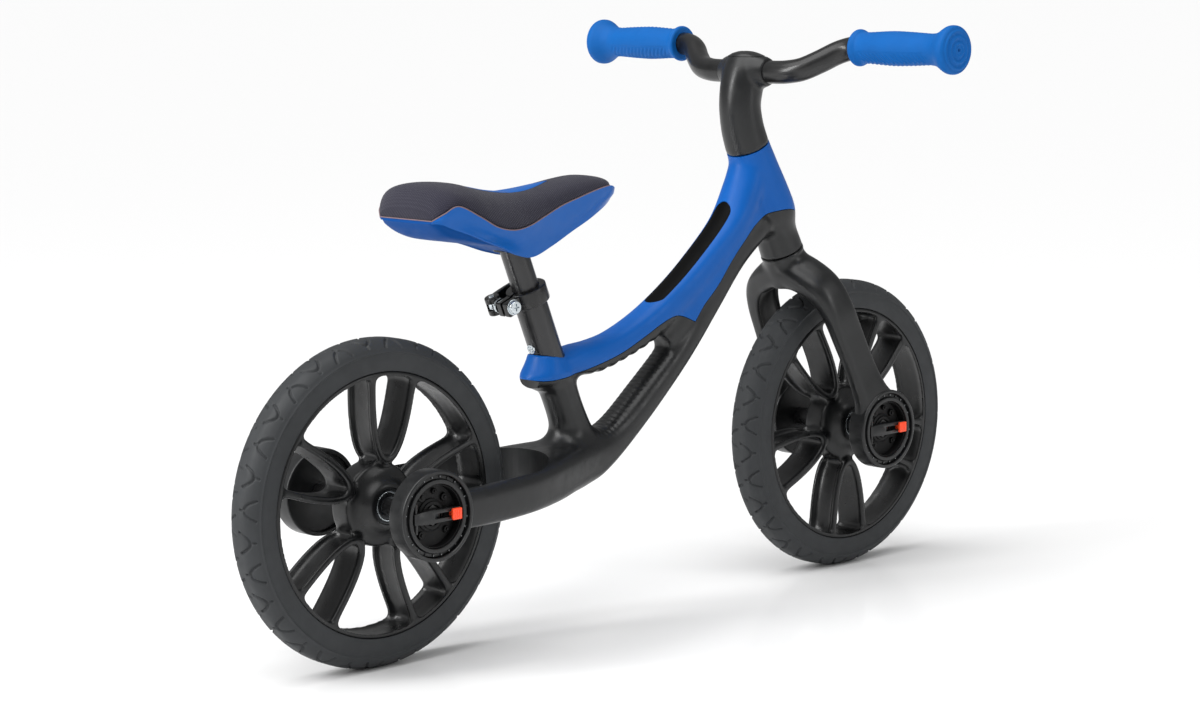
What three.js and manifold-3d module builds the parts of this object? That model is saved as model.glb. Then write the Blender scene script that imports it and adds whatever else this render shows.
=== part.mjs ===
// Child's balance bike with 12-inch foam-tyred wheels, a moulded nylon frame with a bright cover,
// a height-adjustable saddle and four quick-release hub adapters.
// Millimetres, +X forward, +Y to the rider's left, +Z up. The ground is z = 0.
import * as THREE from 'three';
import { mergeVertices } from 'three/addons/utils/BufferGeometryUtils.js';
import Module from 'manifold-3d';

const wasm = await Module();
wasm.setup();

// ---- driving dimensions -------------------------------------------------------------------------
const TYRE_R = 145;            // outer radius of both tyres
const WHEELBASE = 606;         // rear axle to front axle
const HEAD_TILT = 24.85;       // degrees the steering axis leans back from vertical
const SEAT_TILT = 21.8;        // degrees the seat tube leans back from vertical
const GAP = 0.3;               // clearance between pieces that touch
const WHEEL_FACETS = 32;       // facets round a wheel
const TYRE_FLAT = 5;           // half-width of the flat band in the middle of the tread

const RIM_SEAT_R = 118;        // where the tyre sits on the rim
const RIM_LIP_R = 111.5;       // inner edge of the rim
const RIM_HALF = 16.5;         // half-width of the rim
const SPOKE_COUNT = 5;
const SPOKE_HALF = 17;         // half-depth of a spoke across the wheel
const SPOKE_THICK = 5;
const HUB_HALF = 24;           // half-length of the hub
const BEARING_R = 13;
const BEARING_W = 8;
const AXLE_R = 5;
const SPACER_R = 9;
const NUT_H = 4.6;

const DISC_R = 39.4;           // round housing at each fork and chainstay end
const DISC_DEPTH = 19;
const DISC_WALL = 3.6;
const DISC_RECESS = 12;        // depth of the outer recess that holds the lever
const DISC_WEB = 3;
const REAR_FACE = 89.2;        // outer face of the rear housings from the centre plane
const FRONT_FACE = 68.3;

const STEERER_R = 11;
const HEAD_BORE_R = 13.5;
const HEAD_BEARING_R = 16;
const HEAD_BEARING_H = 7;
const HEAD_LOW = 201;          // head tube ends, measured up the steering axis from the front axle
const HEAD_TOP = 314;
const COVER_WALL = 3;
const STRIP_HALF = 10.5;          // dark strip let into the cover
const STRIP_REACH = 52;
const STRIP_DEPTH = 1.4;

const SEAT_TUBE_R = 15;
const SEAT_BORE_R = 12.8;
const POST_R = 12.5;
const SEAT_TUBE_LOW = -60;     // along the seat axis, from where it leaves the cover
const SEAT_TUBE_TOP = 67;
const POST_LOW = -42;
const POST_TOP = 112;

const BAR_R = 11.1;
const BAR_X = 474;
const BAR_Z = 503;
const GRIP_X = 503;
const GRIP_Z = 527;
const GRIP_IN = 116;
const GRIP_OUT = 231;

const LEVER_PIVOT = 22;        // pivot distance behind the axle
const LEVER_HALF = 6;

// ---- colours ------------------------------------------------------------------------------------
const finishes = {
  nylon: ['#3a3b3c', 0.62, 0.0],
  cover: ['#2862be', 0.42, 0.0],
  inlay: ['#141415', 0.35, 0.0],
  tyre: ['#3e4042', 0.88, 0.0],
  grip: ['#1e66c2', 0.75, 0.0],
  shell: ['#0f5db8', 0.4, 0.0],
  fabric: ['#4b484e', 0.95, 0.0],
  bar: ['#17181a', 0.25, 0.6],
  tube: ['#242527', 0.4, 0.5],
  steel: ['#c2c8cc', 0.3, 1.0],
  button: ['#fa5f37', 0.45, 0.0],
};
const materialOf = (name) => {
  const [color, roughness, metalness] = finishes[name];
  return new THREE.MeshStandardMaterial({ color, roughness, metalness });
};

// ---- solids -------------------------------------------------------------------------------------
const solid = (geometry) => {
  const plain = geometry.clone();
  for (const key of Object.keys(plain.attributes)) if (key !== 'position') plain.deleteAttribute(key);
  const merged = mergeVertices(plain, 1e-4);
  return new wasm.Manifold(new wasm.Mesh({
    numProp: 3,
    vertProperties: new Float32Array(merged.attributes.position.array),
    triVerts: new Uint32Array(merged.index.array),
  }));
};
const geometryOf = (body) => {
  const mesh = body.asOriginal().getMesh();
  const geometry = new THREE.BufferGeometry();
  geometry.setAttribute('position', new THREE.BufferAttribute(mesh.vertProperties, 3));
  geometry.setIndex(new THREE.BufferAttribute(mesh.triVerts, 1));
  return geometry;
};
const union = (...bodies) => bodies.reduce((a, b) => a.add(b));
const cut = (body, ...tools) => tools.reduce((a, b) => a.subtract(b), body);

// A closed skin through rings of equal length; the two ends are closed with a fan.
const skin = (rings) => {
  const count = rings[0].length;
  const points = rings.flat();
  const faces = [];
  for (let i = 0; i + 1 < rings.length; i++) {
    for (let j = 0; j < count; j++) {
      const a = i * count + j;
      const b = i * count + (j + 1) % count;
      faces.push(a, b, a + count, b, b + count, a + count);
    }
  }
  for (const [first, flip] of [[0, true], [(rings.length - 1) * count, false]]) {
    const centre = new THREE.Vector3();
    for (let j = 0; j < count; j++) centre.addScaledVector(points[first + j], 1 / count);
    points.push(centre);
    const c = points.length - 1;
    for (let j = 0; j < count; j++) {
      const a = first + j;
      const b = first + (j + 1) % count;
      faces.push(...(flip ? [c, b, a] : [c, a, b]));
    }
  }
  const geometry = new THREE.BufferGeometry();
  geometry.setAttribute('position', new THREE.Float32BufferAttribute(points.flatMap((p) => p.toArray()), 3));
  geometry.setIndex(faces);
  return geometry;
};

// One ring of a superellipse: half-width a along u, half-height b along v, n = 2 is an ellipse.
const ring = (centre, u, v, a, b, n, count) => {
  const power = (value) => Math.sign(value) * Math.abs(value) ** (2 / n);
  return Array.from({ length: count }, (_, i) => {
    const angle = (i / count) * 2 * Math.PI;
    return centre.clone()
      .addScaledVector(u, a * power(Math.cos(angle)))
      .addScaledVector(v, b * power(Math.sin(angle)));
  });
};

// A limb along a smooth spine. Each station is [x, y, z, half-width, half-height, squareness];
// half-widths lie along the side vector, half-heights across it.
const limb = (stations, side, steps, count = 20, shrink = 0) => {
  const smooth = (from) => new THREE.CatmullRomCurve3(
    stations.map((s) => new THREE.Vector3(s[from], s[from + 1], s[from + 2])), false, 'catmullrom', 0.5);
  const spine = smooth(0);
  const sizes = smooth(3);
  const rings = [];
  for (let i = 0; i <= steps; i++) {
    const t = i / steps;
    const along = spine.getTangent(t);
    const u = side.clone().addScaledVector(along, -side.dot(along)).normalize();
    const v = new THREE.Vector3().crossVectors(along, u);
    const size = sizes.getPoint(t);
    rings.push(ring(spine.getPoint(t), u, v, size.x - shrink, size.y - shrink, size.z, count));
  }
  return solid(skin(rings));
};

const SIDE = new THREE.Vector3(0, 1, 0);

// A turned solid about the Y axis through (x, z); profile points are [radius, y].
const turned = (profile, segments, x = 0, z = 0, phase = 0) => {
  const points = profile.map(([r, y]) => new THREE.Vector2(r, y));
  return solid(new THREE.LatheGeometry(points, segments, phase).translate(x, 0, z));
};
const closed = (profile) => [...profile, profile[0]];
const tubeProfile = (inner, outer, y0, y1) => closed([[inner, y0], [outer, y0], [outer, y1], [inner, y1]]);
const rodProfile = (r, y0, y1) => [[0, y0], [r, y0], [r, y1], [0, y1]];

// A side-view outline in X and Z, extruded across the centre plane from y0 to y1.
const plate = (shape, y0, y1, curveSegments = 6) => {
  const geometry = new THREE.ExtrudeGeometry(shape, { depth: y1 - y0, bevelEnabled: false, curveSegments });
  return solid(geometry.rotateX(Math.PI / 2).translate(0, y1, 0));
};
// A plan-view outline in X and Y, extruded up from z0 to z1.
const slab = (shape, z0, z1) => solid(
  new THREE.ExtrudeGeometry(shape, { depth: z1 - z0, bevelEnabled: false, curveSegments: 9 }).translate(0, 0, z0));
const box = (x0, x1, y0, y1, z0, z1) => solid(
  new THREE.BoxGeometry(x1 - x0, y1 - y0, z1 - z0).translate((x0 + x1) / 2, (y0 + y1) / 2, (z0 + z1) / 2));

// A body built up the local Z axis, leant back by an angle and set with its origin at (x, z).
const leaned = (body, degrees, x, z) => body.rotate([0, -degrees, 0]).translate([x, 0, z]);
const upright = (profile, segments = 24) => solid(new THREE.LatheGeometry(
  profile.map(([r, z]) => new THREE.Vector2(r, z)), segments).rotateX(Math.PI / 2));

const steered = (body) => leaned(body, HEAD_TILT, WHEELBASE, TYRE_R);
const SEAT_X = 207.4;          // where the seat axis leaves the cover
const SEAT_Z = 255;
const seated = (body) => leaned(body, SEAT_TILT, SEAT_X, SEAT_Z);

const pieces = [];
const piece = (name, body, finish) => pieces.push([name, body, finish]);
const SIDES = [['right', -1], ['left', 1]];
const mirrored = (body, side) => (side > 0 ? body : body.mirror([0, 1, 0]));

// ---- wheels -------------------------------------------------------------------------------------
const tyre = (x) => {
  const facetR = TYRE_R / Math.cos(Math.PI / WHEEL_FACETS);
  const half = [[facetR, TYRE_FLAT], [142.6, 12], [136, 17.8], [126, 19],
    [RIM_LIP_R + 4.8, 16.8], [RIM_SEAT_R, 14]];
  const profile = [...half.map(([r, y]) => [r, -y]), ...half.reverse().map(([r, y]) => [r, y])];
  return turned(closed(profile.reverse()), WHEEL_FACETS, x, TYRE_R, Math.PI / WHEEL_FACETS);
};

const spokeOutline = (thick) => {
  // A U open to the rim: a round closed end near the hub and two legs that spread outwards.
  const rim = 112.6;
  const spread = 24.5;
  const bend = 46;
  const bendR = 14;
  const outer = new THREE.Shape();
  outer.moveTo(-spread, rim);
  outer.lineTo(-bendR, bend);
  outer.absarc(0, bend, bendR, Math.PI, 2 * Math.PI, false);
  outer.lineTo(spread, rim);
  outer.lineTo(spread - thick, rim);
  outer.lineTo(bendR - thick, bend);
  outer.absarc(0, bend, bendR - thick, 2 * Math.PI, Math.PI, true);
  outer.lineTo(thick - spread, rim);
  outer.closePath();
  return outer;
};

const wheelBody = (x, phase) => {
  const barrelHalf = [[RIM_LIP_R, RIM_HALF + 0.8], [RIM_LIP_R + 4.4, RIM_HALF + 0.2],
    [RIM_SEAT_R - GAP, 13.4]];
  const innerHalf = [[113.5, 12]];
  const barrel = turned(closed([
    ...barrelHalf.map(([r, y]) => [r, -y]), ...barrelHalf.slice().reverse(),
    ...innerHalf, ...innerHalf.slice().reverse().map(([r, y]) => [r, -y]),
  ]), WHEEL_FACETS, 0, 0, Math.PI / WHEEL_FACETS);
  const bell = [[17.5, HUB_HALF], [20, 18.5], [26, 13.5], [36, 10.5]];
  const hub = turned([[0, -HUB_HALF], ...bell.map(([r, y]) => [r, -y]), ...bell.slice().reverse(), [0, HUB_HALF]], 16);
  let body = union(barrel, hub);
  for (let i = 0; i < SPOKE_COUNT; i++) {
    const turn = 90 - phase - i * 360 / SPOKE_COUNT;
    body = body.add(plate(spokeOutline(SPOKE_THICK), -SPOKE_HALF, SPOKE_HALF, 3).rotate([0, turn, 0]));
  }
  body = cut(body, turned(rodProfile(SPACER_R + 0.5, -50, 50), 16),
    ...[-1, 1].map((s) => turned(rodProfile(BEARING_R + GAP, ...(s > 0 ? [HUB_HALF - BEARING_W - GAP, 40]
      : [-40, -HUB_HALF + BEARING_W + GAP])), 20)));
  return body.translate([x, 0, TYRE_R]);
};

const wheels = [['rear', 0, 83, REAR_FACE], ['front', WHEELBASE, -90, FRONT_FACE]];
for (const [end, x, phase, face] of wheels) {
  piece(`${end}_tyre`, tyre(x), 'tyre');
  piece(`${end}_wheel`, wheelBody(x, phase), 'nylon');
  const web = face - DISC_RECESS - DISC_WEB;
  const nutFloor = face - DISC_RECESS + GAP;
  const axleEnd = nutFloor + NUT_H;
  piece(`${end}_axle`, turned(rodProfile(AXLE_R, -axleEnd, axleEnd), 16, x, TYRE_R), 'steel');
  for (const [side, s] of SIDES) {
    const bearing = tubeProfile(AXLE_R + GAP, BEARING_R, HUB_HALF - BEARING_W, HUB_HALF - GAP);
    piece(`${end}_bearing_${side}`, mirrored(turned(bearing, 20, x, TYRE_R), s), 'steel');
    const spacer = tubeProfile(AXLE_R + GAP, SPACER_R, HUB_HALF, web - GAP);
    piece(`${end}_spacer_${side}`, mirrored(turned(spacer, 16, x, TYRE_R), s), 'inlay');
    const nut = tubeProfile((AXLE_R + GAP) / Math.cos(Math.PI / 6), 9, nutFloor, nutFloor + NUT_H - 0.8);
    piece(`${end}_axle_nut_${side}`, mirrored(turned(nut, 6, x, TYRE_R), s), 'tube');
  }
}

// ---- round housings and their quick-release adapters --------------------------------------------
const housing = (face) => turned(rodProfile(DISC_R, face - DISC_DEPTH, face), 24);
const housingCuts = (face) => [
  turned(rodProfile(DISC_R - DISC_WALL, face - DISC_RECESS, face + 20), 24),
  turned(rodProfile(DISC_R - DISC_WALL, face - DISC_DEPTH - 40, face - DISC_RECESS - DISC_WEB), 24),
  turned(rodProfile(AXLE_R + GAP, face - 40, face + 20), 16),
];
const ringR = DISC_R - DISC_WALL - GAP;
const INSERT_IN = 27.7;
const adapter = (end, side, s, x, face) => {
  const base = face - DISC_RECESS + GAP;
  const insert = turned(closed([[INSERT_IN, base], [ringR, base], [ringR, face - 4], [32, face - 4],
    [32, face - 0.6], [INSERT_IN, face - 0.6]]), 20);
  const leverY = face - 4;
  const post = (r, length) => solid(new THREE.CylinderGeometry(r, r, length, 8).rotateX(Math.PI / 2)
    .translate(-LEVER_PIVOT, leverY, 0));
  const pinHole = post(1.9, 30);
  const pin = post(1.6, 26);
  const outline = new THREE.Shape();
  outline.moveTo(-LEVER_PIVOT, LEVER_HALF);
  outline.absarc(-LEVER_PIVOT + 1.5, 0, LEVER_HALF - 2.6, Math.PI / 2, 1.5 * Math.PI, false);
  outline.lineTo(-LEVER_PIVOT + 6, -LEVER_HALF);
  outline.lineTo(INSERT_IN - 1.8, -LEVER_HALF + 1);
  outline.lineTo(INSERT_IN - 1.8, LEVER_HALF - 1);
  outline.lineTo(-LEVER_PIVOT + 6, LEVER_HALF);
  outline.closePath();
  const slot = box(-3, 23.5, face - 20, face + 5, -2.6, 2.6);
  const lever = cut(plate(outline, face - 6.6, face - 1.4, 3), pinHole, slot);
  const button = union(box(14.5, 25, face - 1, face + 2.2, -5.2, 5.2),
    box(16.5, 23, face - 6.2, face, -2.2, 2.2));
  const place = (body) => mirrored(body, s).translate([x, 0, TYRE_R]);
  const tag = `${end}_${side}`;
  piece(`adapter_ring_${tag}`, place(insert), 'nylon');
  piece(`lever_${tag}`, place(lever), 'nylon');
  piece(`lever_pin_${tag}`, place(pin), 'steel');
  piece(`lock_button_${tag}`, place(button), 'button');
};
for (const [end, x, , face] of wheels) {
  for (const [side, s] of SIDES) adapter(end, side, s, x, face);
}

// ---- frame --------------------------------------------------------------------------------------
const headStations = [[0, 0, HEAD_LOW, 21.3, 21.3, 2], [0, 0, 222, 20.8, 21.2, 2], [1, 0, 240, 24, 26, 2],
  [0.5, 0, 262, 23.5, 26, 2], [0, 0, 288, 22.4, 23.8, 2], [0, 0, HEAD_TOP, 21.4, 21.4, 2]];
// Ends reach past the outside by this much when a tube is used as a tool to hollow the cover.
const longer = (stations, reach) => {
  const ends = [[0, 1], [stations.length - 1, stations.length - 2]];
  const longerOnes = stations.map((s) => s.slice());
  for (const [end, next] of ends) {
    const [dx, dz] = [stations[end][0] - stations[next][0], stations[end][2] - stations[next][2]];
    const scale = reach / Math.hypot(dx, dz);
    longerOnes[end][0] += dx * scale;
    longerOnes[end][2] += dz * scale;
  }
  return longerOnes;
};
const headTube = (shrink, steps = 7, count = 18, reach = 0) => steered(
  limb(longer(headStations, reach), SIDE, steps, count, shrink));
const upperStations = [[205, 0, 240, 15, 8, 2.4], [220, 0, 243, 18, 11.5, 2.4], [238, 0, 246, 18.5, 14, 2.6],
  [262, 0, 247, 17.5, 15.3, 2.8], [292, 0, 254, 17.2, 14.6, 2.8], [330, 0, 269, 17.2, 15.5, 2.8],
  [368, 0, 291.5, 17.6, 15.6, 2.6], [406, 0, 319.5, 18.6, 16.2, 2.4], [445, 0, 354.5, 20.4, 17, 2.2],
  [467, 0, 388, 21, 20, 2], [476, 0, 412, 19.5, 19.5, 2]];
const upperTube = (shrink, steps = 13, count = 14, reach = 0) => limb(longer(upperStations, reach), SIDE, steps, count, shrink);
const downStations = [[20, 0, 143, 80.5, 19.5, 6], [60, 0, 142, 78, 19.5, 6], [100, 0, 142.5, 73, 20, 6],
  [140, 0, 144, 66, 20.5, 5.5],
  [176, 0, 146.5, 55, 21, 5], [202, 0, 149, 45, 21, 4.5], [228, 0, 151, 34, 21, 4], [256, 0, 156, 24, 20.5, 3.6],
  [288, 0, 171, 18, 18, 3.4], [330, 0, 205, 16.8, 16.5, 3.4], [374, 0, 244.5, 16.4, 14.8, 3.4],
  [412, 0, 287, 16.4, 14.6, 3.2], [446, 0, 326, 18, 14.5, 2.8], [486, 0, 356, 19, 13, 2.4]];
const downTube = () => limb(downStations, SIDE, 17, 14);
const downCore = (shrink, reach) => limb(longer(downStations.slice(9), reach), SIDE, 5, 10, shrink);
const mast = () => seated(limb([[0, 0, -120, 30, 27, 2], [0, 0, -98, 22.5, 23.5, 2], [0, 0, -76, 18.6, 19, 2],
  [0, 0, -54, 17.6, 17.4, 2], [0, 0, -36, 17.8, 17.8, 2], [0, 0, -18, 18.4, 18.4, 2]], SIDE, 6, 14));
// The level skirt that the cover makes round the seat tube, longest at the back.
const collar = () => limb([[214, 0, 225, 17.2, 17, 2], [211, 0, 229.5, 18.5, 19, 2], [207, 0, 232.5, 20.8, 24, 2],
  [204.5, 0, 236, 21.6, 27, 2], [205, 0, 243, 20.3, 22, 2], [206.5, 0, 249.5, 18.2, 18.8, 2],
  [207.5, 0, 254.5, 17.3, 17.6, 2]], SIDE, 8, 18);

// The cover is everything above this line, seen from the side.
const coverRegion = (drop) => {
  const edge = [[150, 236], [172, 235], [193, 233], [226, 236], [247, 239.5], [284, 248.5], [315, 261],
    [338, 271.5], [355, 277], [369, 276], [385, 269.5]];
  const front = [[385, 269.5], [397, 284.2], [416, 302], [434.5, 325], [452, 343.5], [465, 356], [480, 365],
    [500, 369], [518, 367.5], [560, 357]];
  const at = ([x, z]) => new THREE.Vector2(x, z - drop);
  const shape = new THREE.Shape();
  shape.moveTo(edge[0][0], edge[0][1] - drop);
  shape.splineThru(edge.slice(1).map(at));
  shape.splineThru(front.slice(1).map(at));
  shape.lineTo(600, 520);
  shape.lineTo(150, 520);
  shape.closePath();
  return plate(shape, -60, 60, 2);
};

const tyreOpening = () => {
  const shape = new THREE.Shape();
  shape.moveTo(0, -70);
  shape.lineTo(60, -67);
  shape.lineTo(126, -61);
  shape.absellipse(126, 0, 61, 61, -Math.PI / 2, Math.PI / 2, false);
  shape.lineTo(60, 67);
  shape.lineTo(0, 70);
  shape.closePath();
  return slab(shape, 60, 240);
};

const outside = union(headTube(0), upperTube(0), downTube(), collar());
const inside = (shrink, reach) => union(
  headTube(shrink, 5, 12, reach), upperTube(shrink, 9, 10, reach), downCore(shrink, reach));
const core = inside(COVER_WALL + GAP, 0);
const seatHole = seated(upright(rodProfile(SEAT_TUBE_R + GAP, SEAT_TUBE_LOW - GAP, 60)));
const headBores = steered(union(
  upright(rodProfile(HEAD_BORE_R, HEAD_LOW - 5, HEAD_TOP + 5)),
  upright(rodProfile(HEAD_BEARING_R + GAP, HEAD_LOW - 5, HEAD_LOW + HEAD_BEARING_H + GAP)),
  upright(rodProfile(HEAD_BEARING_R + GAP, HEAD_TOP - HEAD_BEARING_H - GAP, HEAD_TOP + 5))));


// A dark strip lies flush in the cover along its spine.
const strip = (grow) => {
  const half = STRIP_HALF + grow;
  const shape = new THREE.Shape();
  shape.moveTo(-STRIP_REACH, half);
  shape.absarc(-STRIP_REACH, 0, half, Math.PI / 2, 1.5 * Math.PI, false);
  shape.lineTo(STRIP_REACH, -half);
  shape.absarc(STRIP_REACH, 0, half, -Math.PI / 2, Math.PI / 2, false);
  shape.closePath();
  const skinDepth = STRIP_DEPTH + grow;
  const surface = cut(upperTube(grow ? 0 : -0.01), upperTube(skinDepth, 13, 14, 1), headTube(grow));
  return surface.intersect(leaned(slab(shape, -14, 40), 43, 392, 330));
};
const cover = cut(outside.intersect(coverRegion(0)), inside(COVER_WALL, 1), seatHole, headBores, strip(GAP));
piece('frame_cover', cover, 'cover');
piece('cover_strip', strip(0), 'inlay');

const lug = limb([[222, 0, 140, 11, 9, 3], [238, 0, 136, 11, 9, 3], [254, 0, 140, 10, 9, 3]], SIDE, 6, 16);
let frame = union(core, cut(union(outside, mast()), coverRegion(GAP)), lug);
frame = cut(frame, tyreOpening());
frame = union(frame, ...SIDES.map(([, s]) => mirrored(housing(REAR_FACE), s).translate([0, 0, TYRE_R])));
frame = cut(frame, ...SIDES.flatMap(([, s]) => housingCuts(REAR_FACE).map(
  (body) => mirrored(body, s).translate([0, 0, TYRE_R]))), seatHole, headBores);
piece('frame_body', frame, 'nylon');

// ---- steering head ------------------------------------------------------------------------------
for (const [name, low] of [['lower', HEAD_LOW], ['upper', HEAD_TOP - HEAD_BEARING_H]]) {
  piece(`head_bearing_${name}`, steered(upright(closed([[STEERER_R + GAP, low], [HEAD_BEARING_R, low],
    [HEAD_BEARING_R, low + HEAD_BEARING_H], [STEERER_R + GAP, low + HEAD_BEARING_H]]), 20)), 'steel');
}
piece('steerer_tube', steered(upright(closed([[8.5, 176], [STEERER_R, 176], [STEERER_R, 352], [8.5, 352]]), 24)),
  'tube');

// ---- fork ---------------------------------------------------------------------------------------
const ACROSS = new THREE.Vector3(1, 0, 0);
const armStations = [[0, 0, 181, 21, 19, 2.4], [0, 23, 176, 20.5, 17.5, 2.4], [0, 42, 162, 19, 13, 2.6],
  [0, 50, 138, 17.5, 10, 2.8], [0, 52.5, 105, 17, 8.4, 3], [0, 55.5, 68, 17, 8, 3], [0, 58, 42, 20, 8.6, 3],
  [0, 58.8, 22, 29, 9.5, 3], [0, 58.8, 2, 37, 9.5, 3]];
const pocketStations = [[0, 36, 152, 13, 5, 2.6], [0, 42.5, 134, 12.5, 4.5, 2.8], [0, 45.6, 105, 12, 4.5, 3],
  [0, 49, 68, 12, 4.5, 3], [0, 51, 50, 12, 3.5, 3]];
const arm = (stations, s, steps, count) => limb(
  stations.map(([x, y, z, w, h, n]) => [x, s * y, z, w, h, n]), ACROSS, steps, count);
const neck = limb([[0, 0, HEAD_LOW - GAP, 21.3, 21.3, 2], [0, 0, 190, 22.5, 21.8, 2], [0, 0, 176, 26, 22, 2.2],
  [0, 0, 166, 24, 20, 2.2]], SIDE, 4, 16);
let fork = union(neck, ...SIDES.map(([, s]) => arm(armStations, s, 11, 12)));
fork = cut(fork, ...SIDES.map(([, s]) => arm(pocketStations, s, 5, 8)),
  upright(rodProfile(STEERER_R + GAP, 170, 220), 24));
fork = union(fork, ...SIDES.map(([, s]) => mirrored(housing(FRONT_FACE), s)));
fork = cut(fork, ...SIDES.flatMap(([, s]) => housingCuts(FRONT_FACE).map((body) => mirrored(body, s))));
piece('fork', steered(fork), 'nylon');

// ---- stem, bar and grips ------------------------------------------------------------------------
const stemStations = [[0, 0, HEAD_TOP + GAP, 21.3, 21.3, 2], [0, 0, HEAD_TOP + 6, 21.2, 21.2, 2],
  [1.5, 0, 336, 20.6, 20.8, 2],
  [7, 0, 355, 20.2, 20.3, 2], [17, 0, 371, 20.5, 20.6, 2.1], [28, 0, 383, 20.8, 20.4, 2.2],
  [36, 0, 393, 17, 16, 2.2], [39, 0, 397, 9, 8, 2.2]];
const stemNeck = steered(limb(stemStations, SIDE, 9, 14));
const boss = limb([[BAR_X, -28, BAR_Z, 13, 13, 2], [BAR_X - 1, -20, BAR_Z, 16, 16, 2], [BAR_X - 2, -10, BAR_Z, 19, 19, 2],
  [BAR_X - 2, 0, BAR_Z, 20, 20, 2], [BAR_X - 2, 10, BAR_Z, 19, 19, 2], [BAR_X - 1, 20, BAR_Z, 16, 16, 2],
  [BAR_X, 28, BAR_Z, 13, 13, 2]], ACROSS, 6, 14);
const barHole = turned(rodProfile(BAR_R + 2 * GAP, -60, 60), 16, BAR_X, BAR_Z);
const stemWhole = cut(union(stemNeck, boss), barHole, steered(upright(rodProfile(STEERER_R + GAP, 300, 353), 24)));
const capCut = (lift) => box(400, 560, -50, 50, BAR_Z + 14.5 + lift, 600);
piece('stem', cut(stemWhole, capCut(0)), 'nylon');
piece('stem_cap', stemWhole.intersect(capCut(GAP)), 'nylon');

const barPoints = (s) => [[BAR_X, 18, BAR_Z], [BAR_X, 34, BAR_Z], [BAR_X + 3, 48, BAR_Z + 1.5],
  [BAR_X + 10, 68, BAR_Z + 6.5], [BAR_X + 21, 89, BAR_Z + 16.5], [GRIP_X - 1.5, 104, GRIP_Z - 2],
  [GRIP_X, 118, GRIP_Z], [GRIP_X, 150, GRIP_Z], [GRIP_X, 224, GRIP_Z]].map(([x, y, z]) => [x, s * y, z]);
const barSpine = [...barPoints(-1).reverse(), [BAR_X, 0, BAR_Z], ...barPoints(1)];
piece('handlebar', limb(barSpine.map((p) => [...p, BAR_R, BAR_R, 2]), ACROSS, 26, 10), 'bar');
const gripProfile = [[BAR_R + 2 * GAP, GRIP_IN], [16, GRIP_IN], [17.4, GRIP_IN + 2], [17, GRIP_IN + 5],
  [14.9, GRIP_IN + 8], [16.2, GRIP_IN + 45], [14.9, GRIP_OUT - 22],
  [16.4, GRIP_OUT - 14], [20.8, GRIP_OUT - 7], [22.6, GRIP_OUT - 2], [22.2, GRIP_OUT + 2], [18, GRIP_OUT + 5],
  [9, GRIP_OUT + 7.2], [0, GRIP_OUT + 7.8], [0, 226], [BAR_R + 2 * GAP, 226], [BAR_R + 2 * GAP, GRIP_IN]];
for (const [side, s] of SIDES) {
  piece(`grip_${side}`, mirrored(turned(gripProfile, 14, GRIP_X, GRIP_Z), s), 'grip');
}

// ---- seat tube, clamp and post ------------------------------------------------------------------
const pipe = (inner, outer, low, top) => seated(upright(
  closed([[inner, low], [outer, low], [outer, top], [inner, top]]), 24));
const tube = pipe(SEAT_BORE_R, SEAT_TUBE_R, SEAT_TUBE_LOW, SEAT_TUBE_TOP);
piece('seat_tube', tube, 'tube');
piece('seat_post', pipe(POST_R - 2, POST_R, POST_LOW, POST_TOP), 'tube');

// The clamp collar closes on a bolt through its two rear ears; a cam lever on the left pulls it tight.
const CLAMP_LOW = SEAT_TUBE_TOP - 14;
const CLAMP_TOP = SEAT_TUBE_TOP + 1.5;
const CLAMP_R = 18.8;
const BOLT_X = -26.5;
const BOLT_Z = CLAMP_LOW + 9;
const EAR_HALF = 8;
const CAM_Y = 17.8;              // the cam pivot, left of the centre plane
const CAM_R = 7;
const CAM_HALF = 8.5;
const acrossRod = (r, y0, y1, segments = 16) => turned(rodProfile(r, y0, y1), segments, BOLT_X, BOLT_Z);
const camRod = (r, z0, z1, segments = 20) => upright(rodProfile(r, z0, z1), segments).translate([BOLT_X, CAM_Y, 0]);
const clampBody = cut(
  union(upright(rodProfile(CLAMP_R, CLAMP_LOW, CLAMP_TOP), 24),
    box(-32.5, -12, -EAR_HALF, EAR_HALF, CLAMP_LOW + 1, CLAMP_TOP - 1)),
  upright(rodProfile(SEAT_TUBE_R + 2 * GAP, CLAMP_LOW - 5, CLAMP_TOP + 5), 24),
  box(-60, 0, -1.6, 1.6, CLAMP_LOW - 5, CLAMP_TOP + 5), acrossRod(3.4, -40, 40));
piece('seat_clamp', seated(clampBody), 'inlay');
const eye = cut(camRod(5, BOLT_Z - 3, BOLT_Z + 3, 16), camRod(2.4, BOLT_Z - 9, BOLT_Z + 9, 12));
const head = acrossRod(6.4, -EAR_HALF - 4.5, -EAR_HALF - GAP, 20);
const bolt = union(acrossRod(3, -EAR_HALF - 1, CAM_Y - 3.6), head, eye);
piece('clamp_bolt', seated(bolt), 'steel');
piece('clamp_pin', seated(camRod(2, BOLT_Z - CAM_HALF - 1, BOLT_Z + CAM_HALF + 1, 12)), 'steel');
const leverArm = new THREE.Shape([[BOLT_X, CAM_Y + 2], [BOLT_X, CAM_Y + CAM_R - 0.2], [-6, 26.5], [12, 25], [23, 19.5],
  [20.5, 17.5], [11, 21.5], [-3, 22.6], [BOLT_X + 9, CAM_Y + 2.5]].map(([x, y]) => new THREE.Vector2(x, y)));
const camLever = cut(
  union(camRod(CAM_R, BOLT_Z - CAM_HALF, BOLT_Z + CAM_HALF), slab(leverArm, BOLT_Z - 7, BOLT_Z + 7)),
  box(BOLT_X - 8, BOLT_X + 8, CAM_Y - 12, CAM_Y + 5.4, BOLT_Z - 3.5, BOLT_Z + 3.5),
  camRod(2.4, BOLT_Z - 30, BOLT_Z + 30, 12));
piece('clamp_lever', seated(camLever), 'inlay');
const cup = cut(acrossRod(7, EAR_HALF + GAP, CAM_Y - CAM_R - GAP, 16), acrossRod(3.4, 0, 30));
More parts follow.
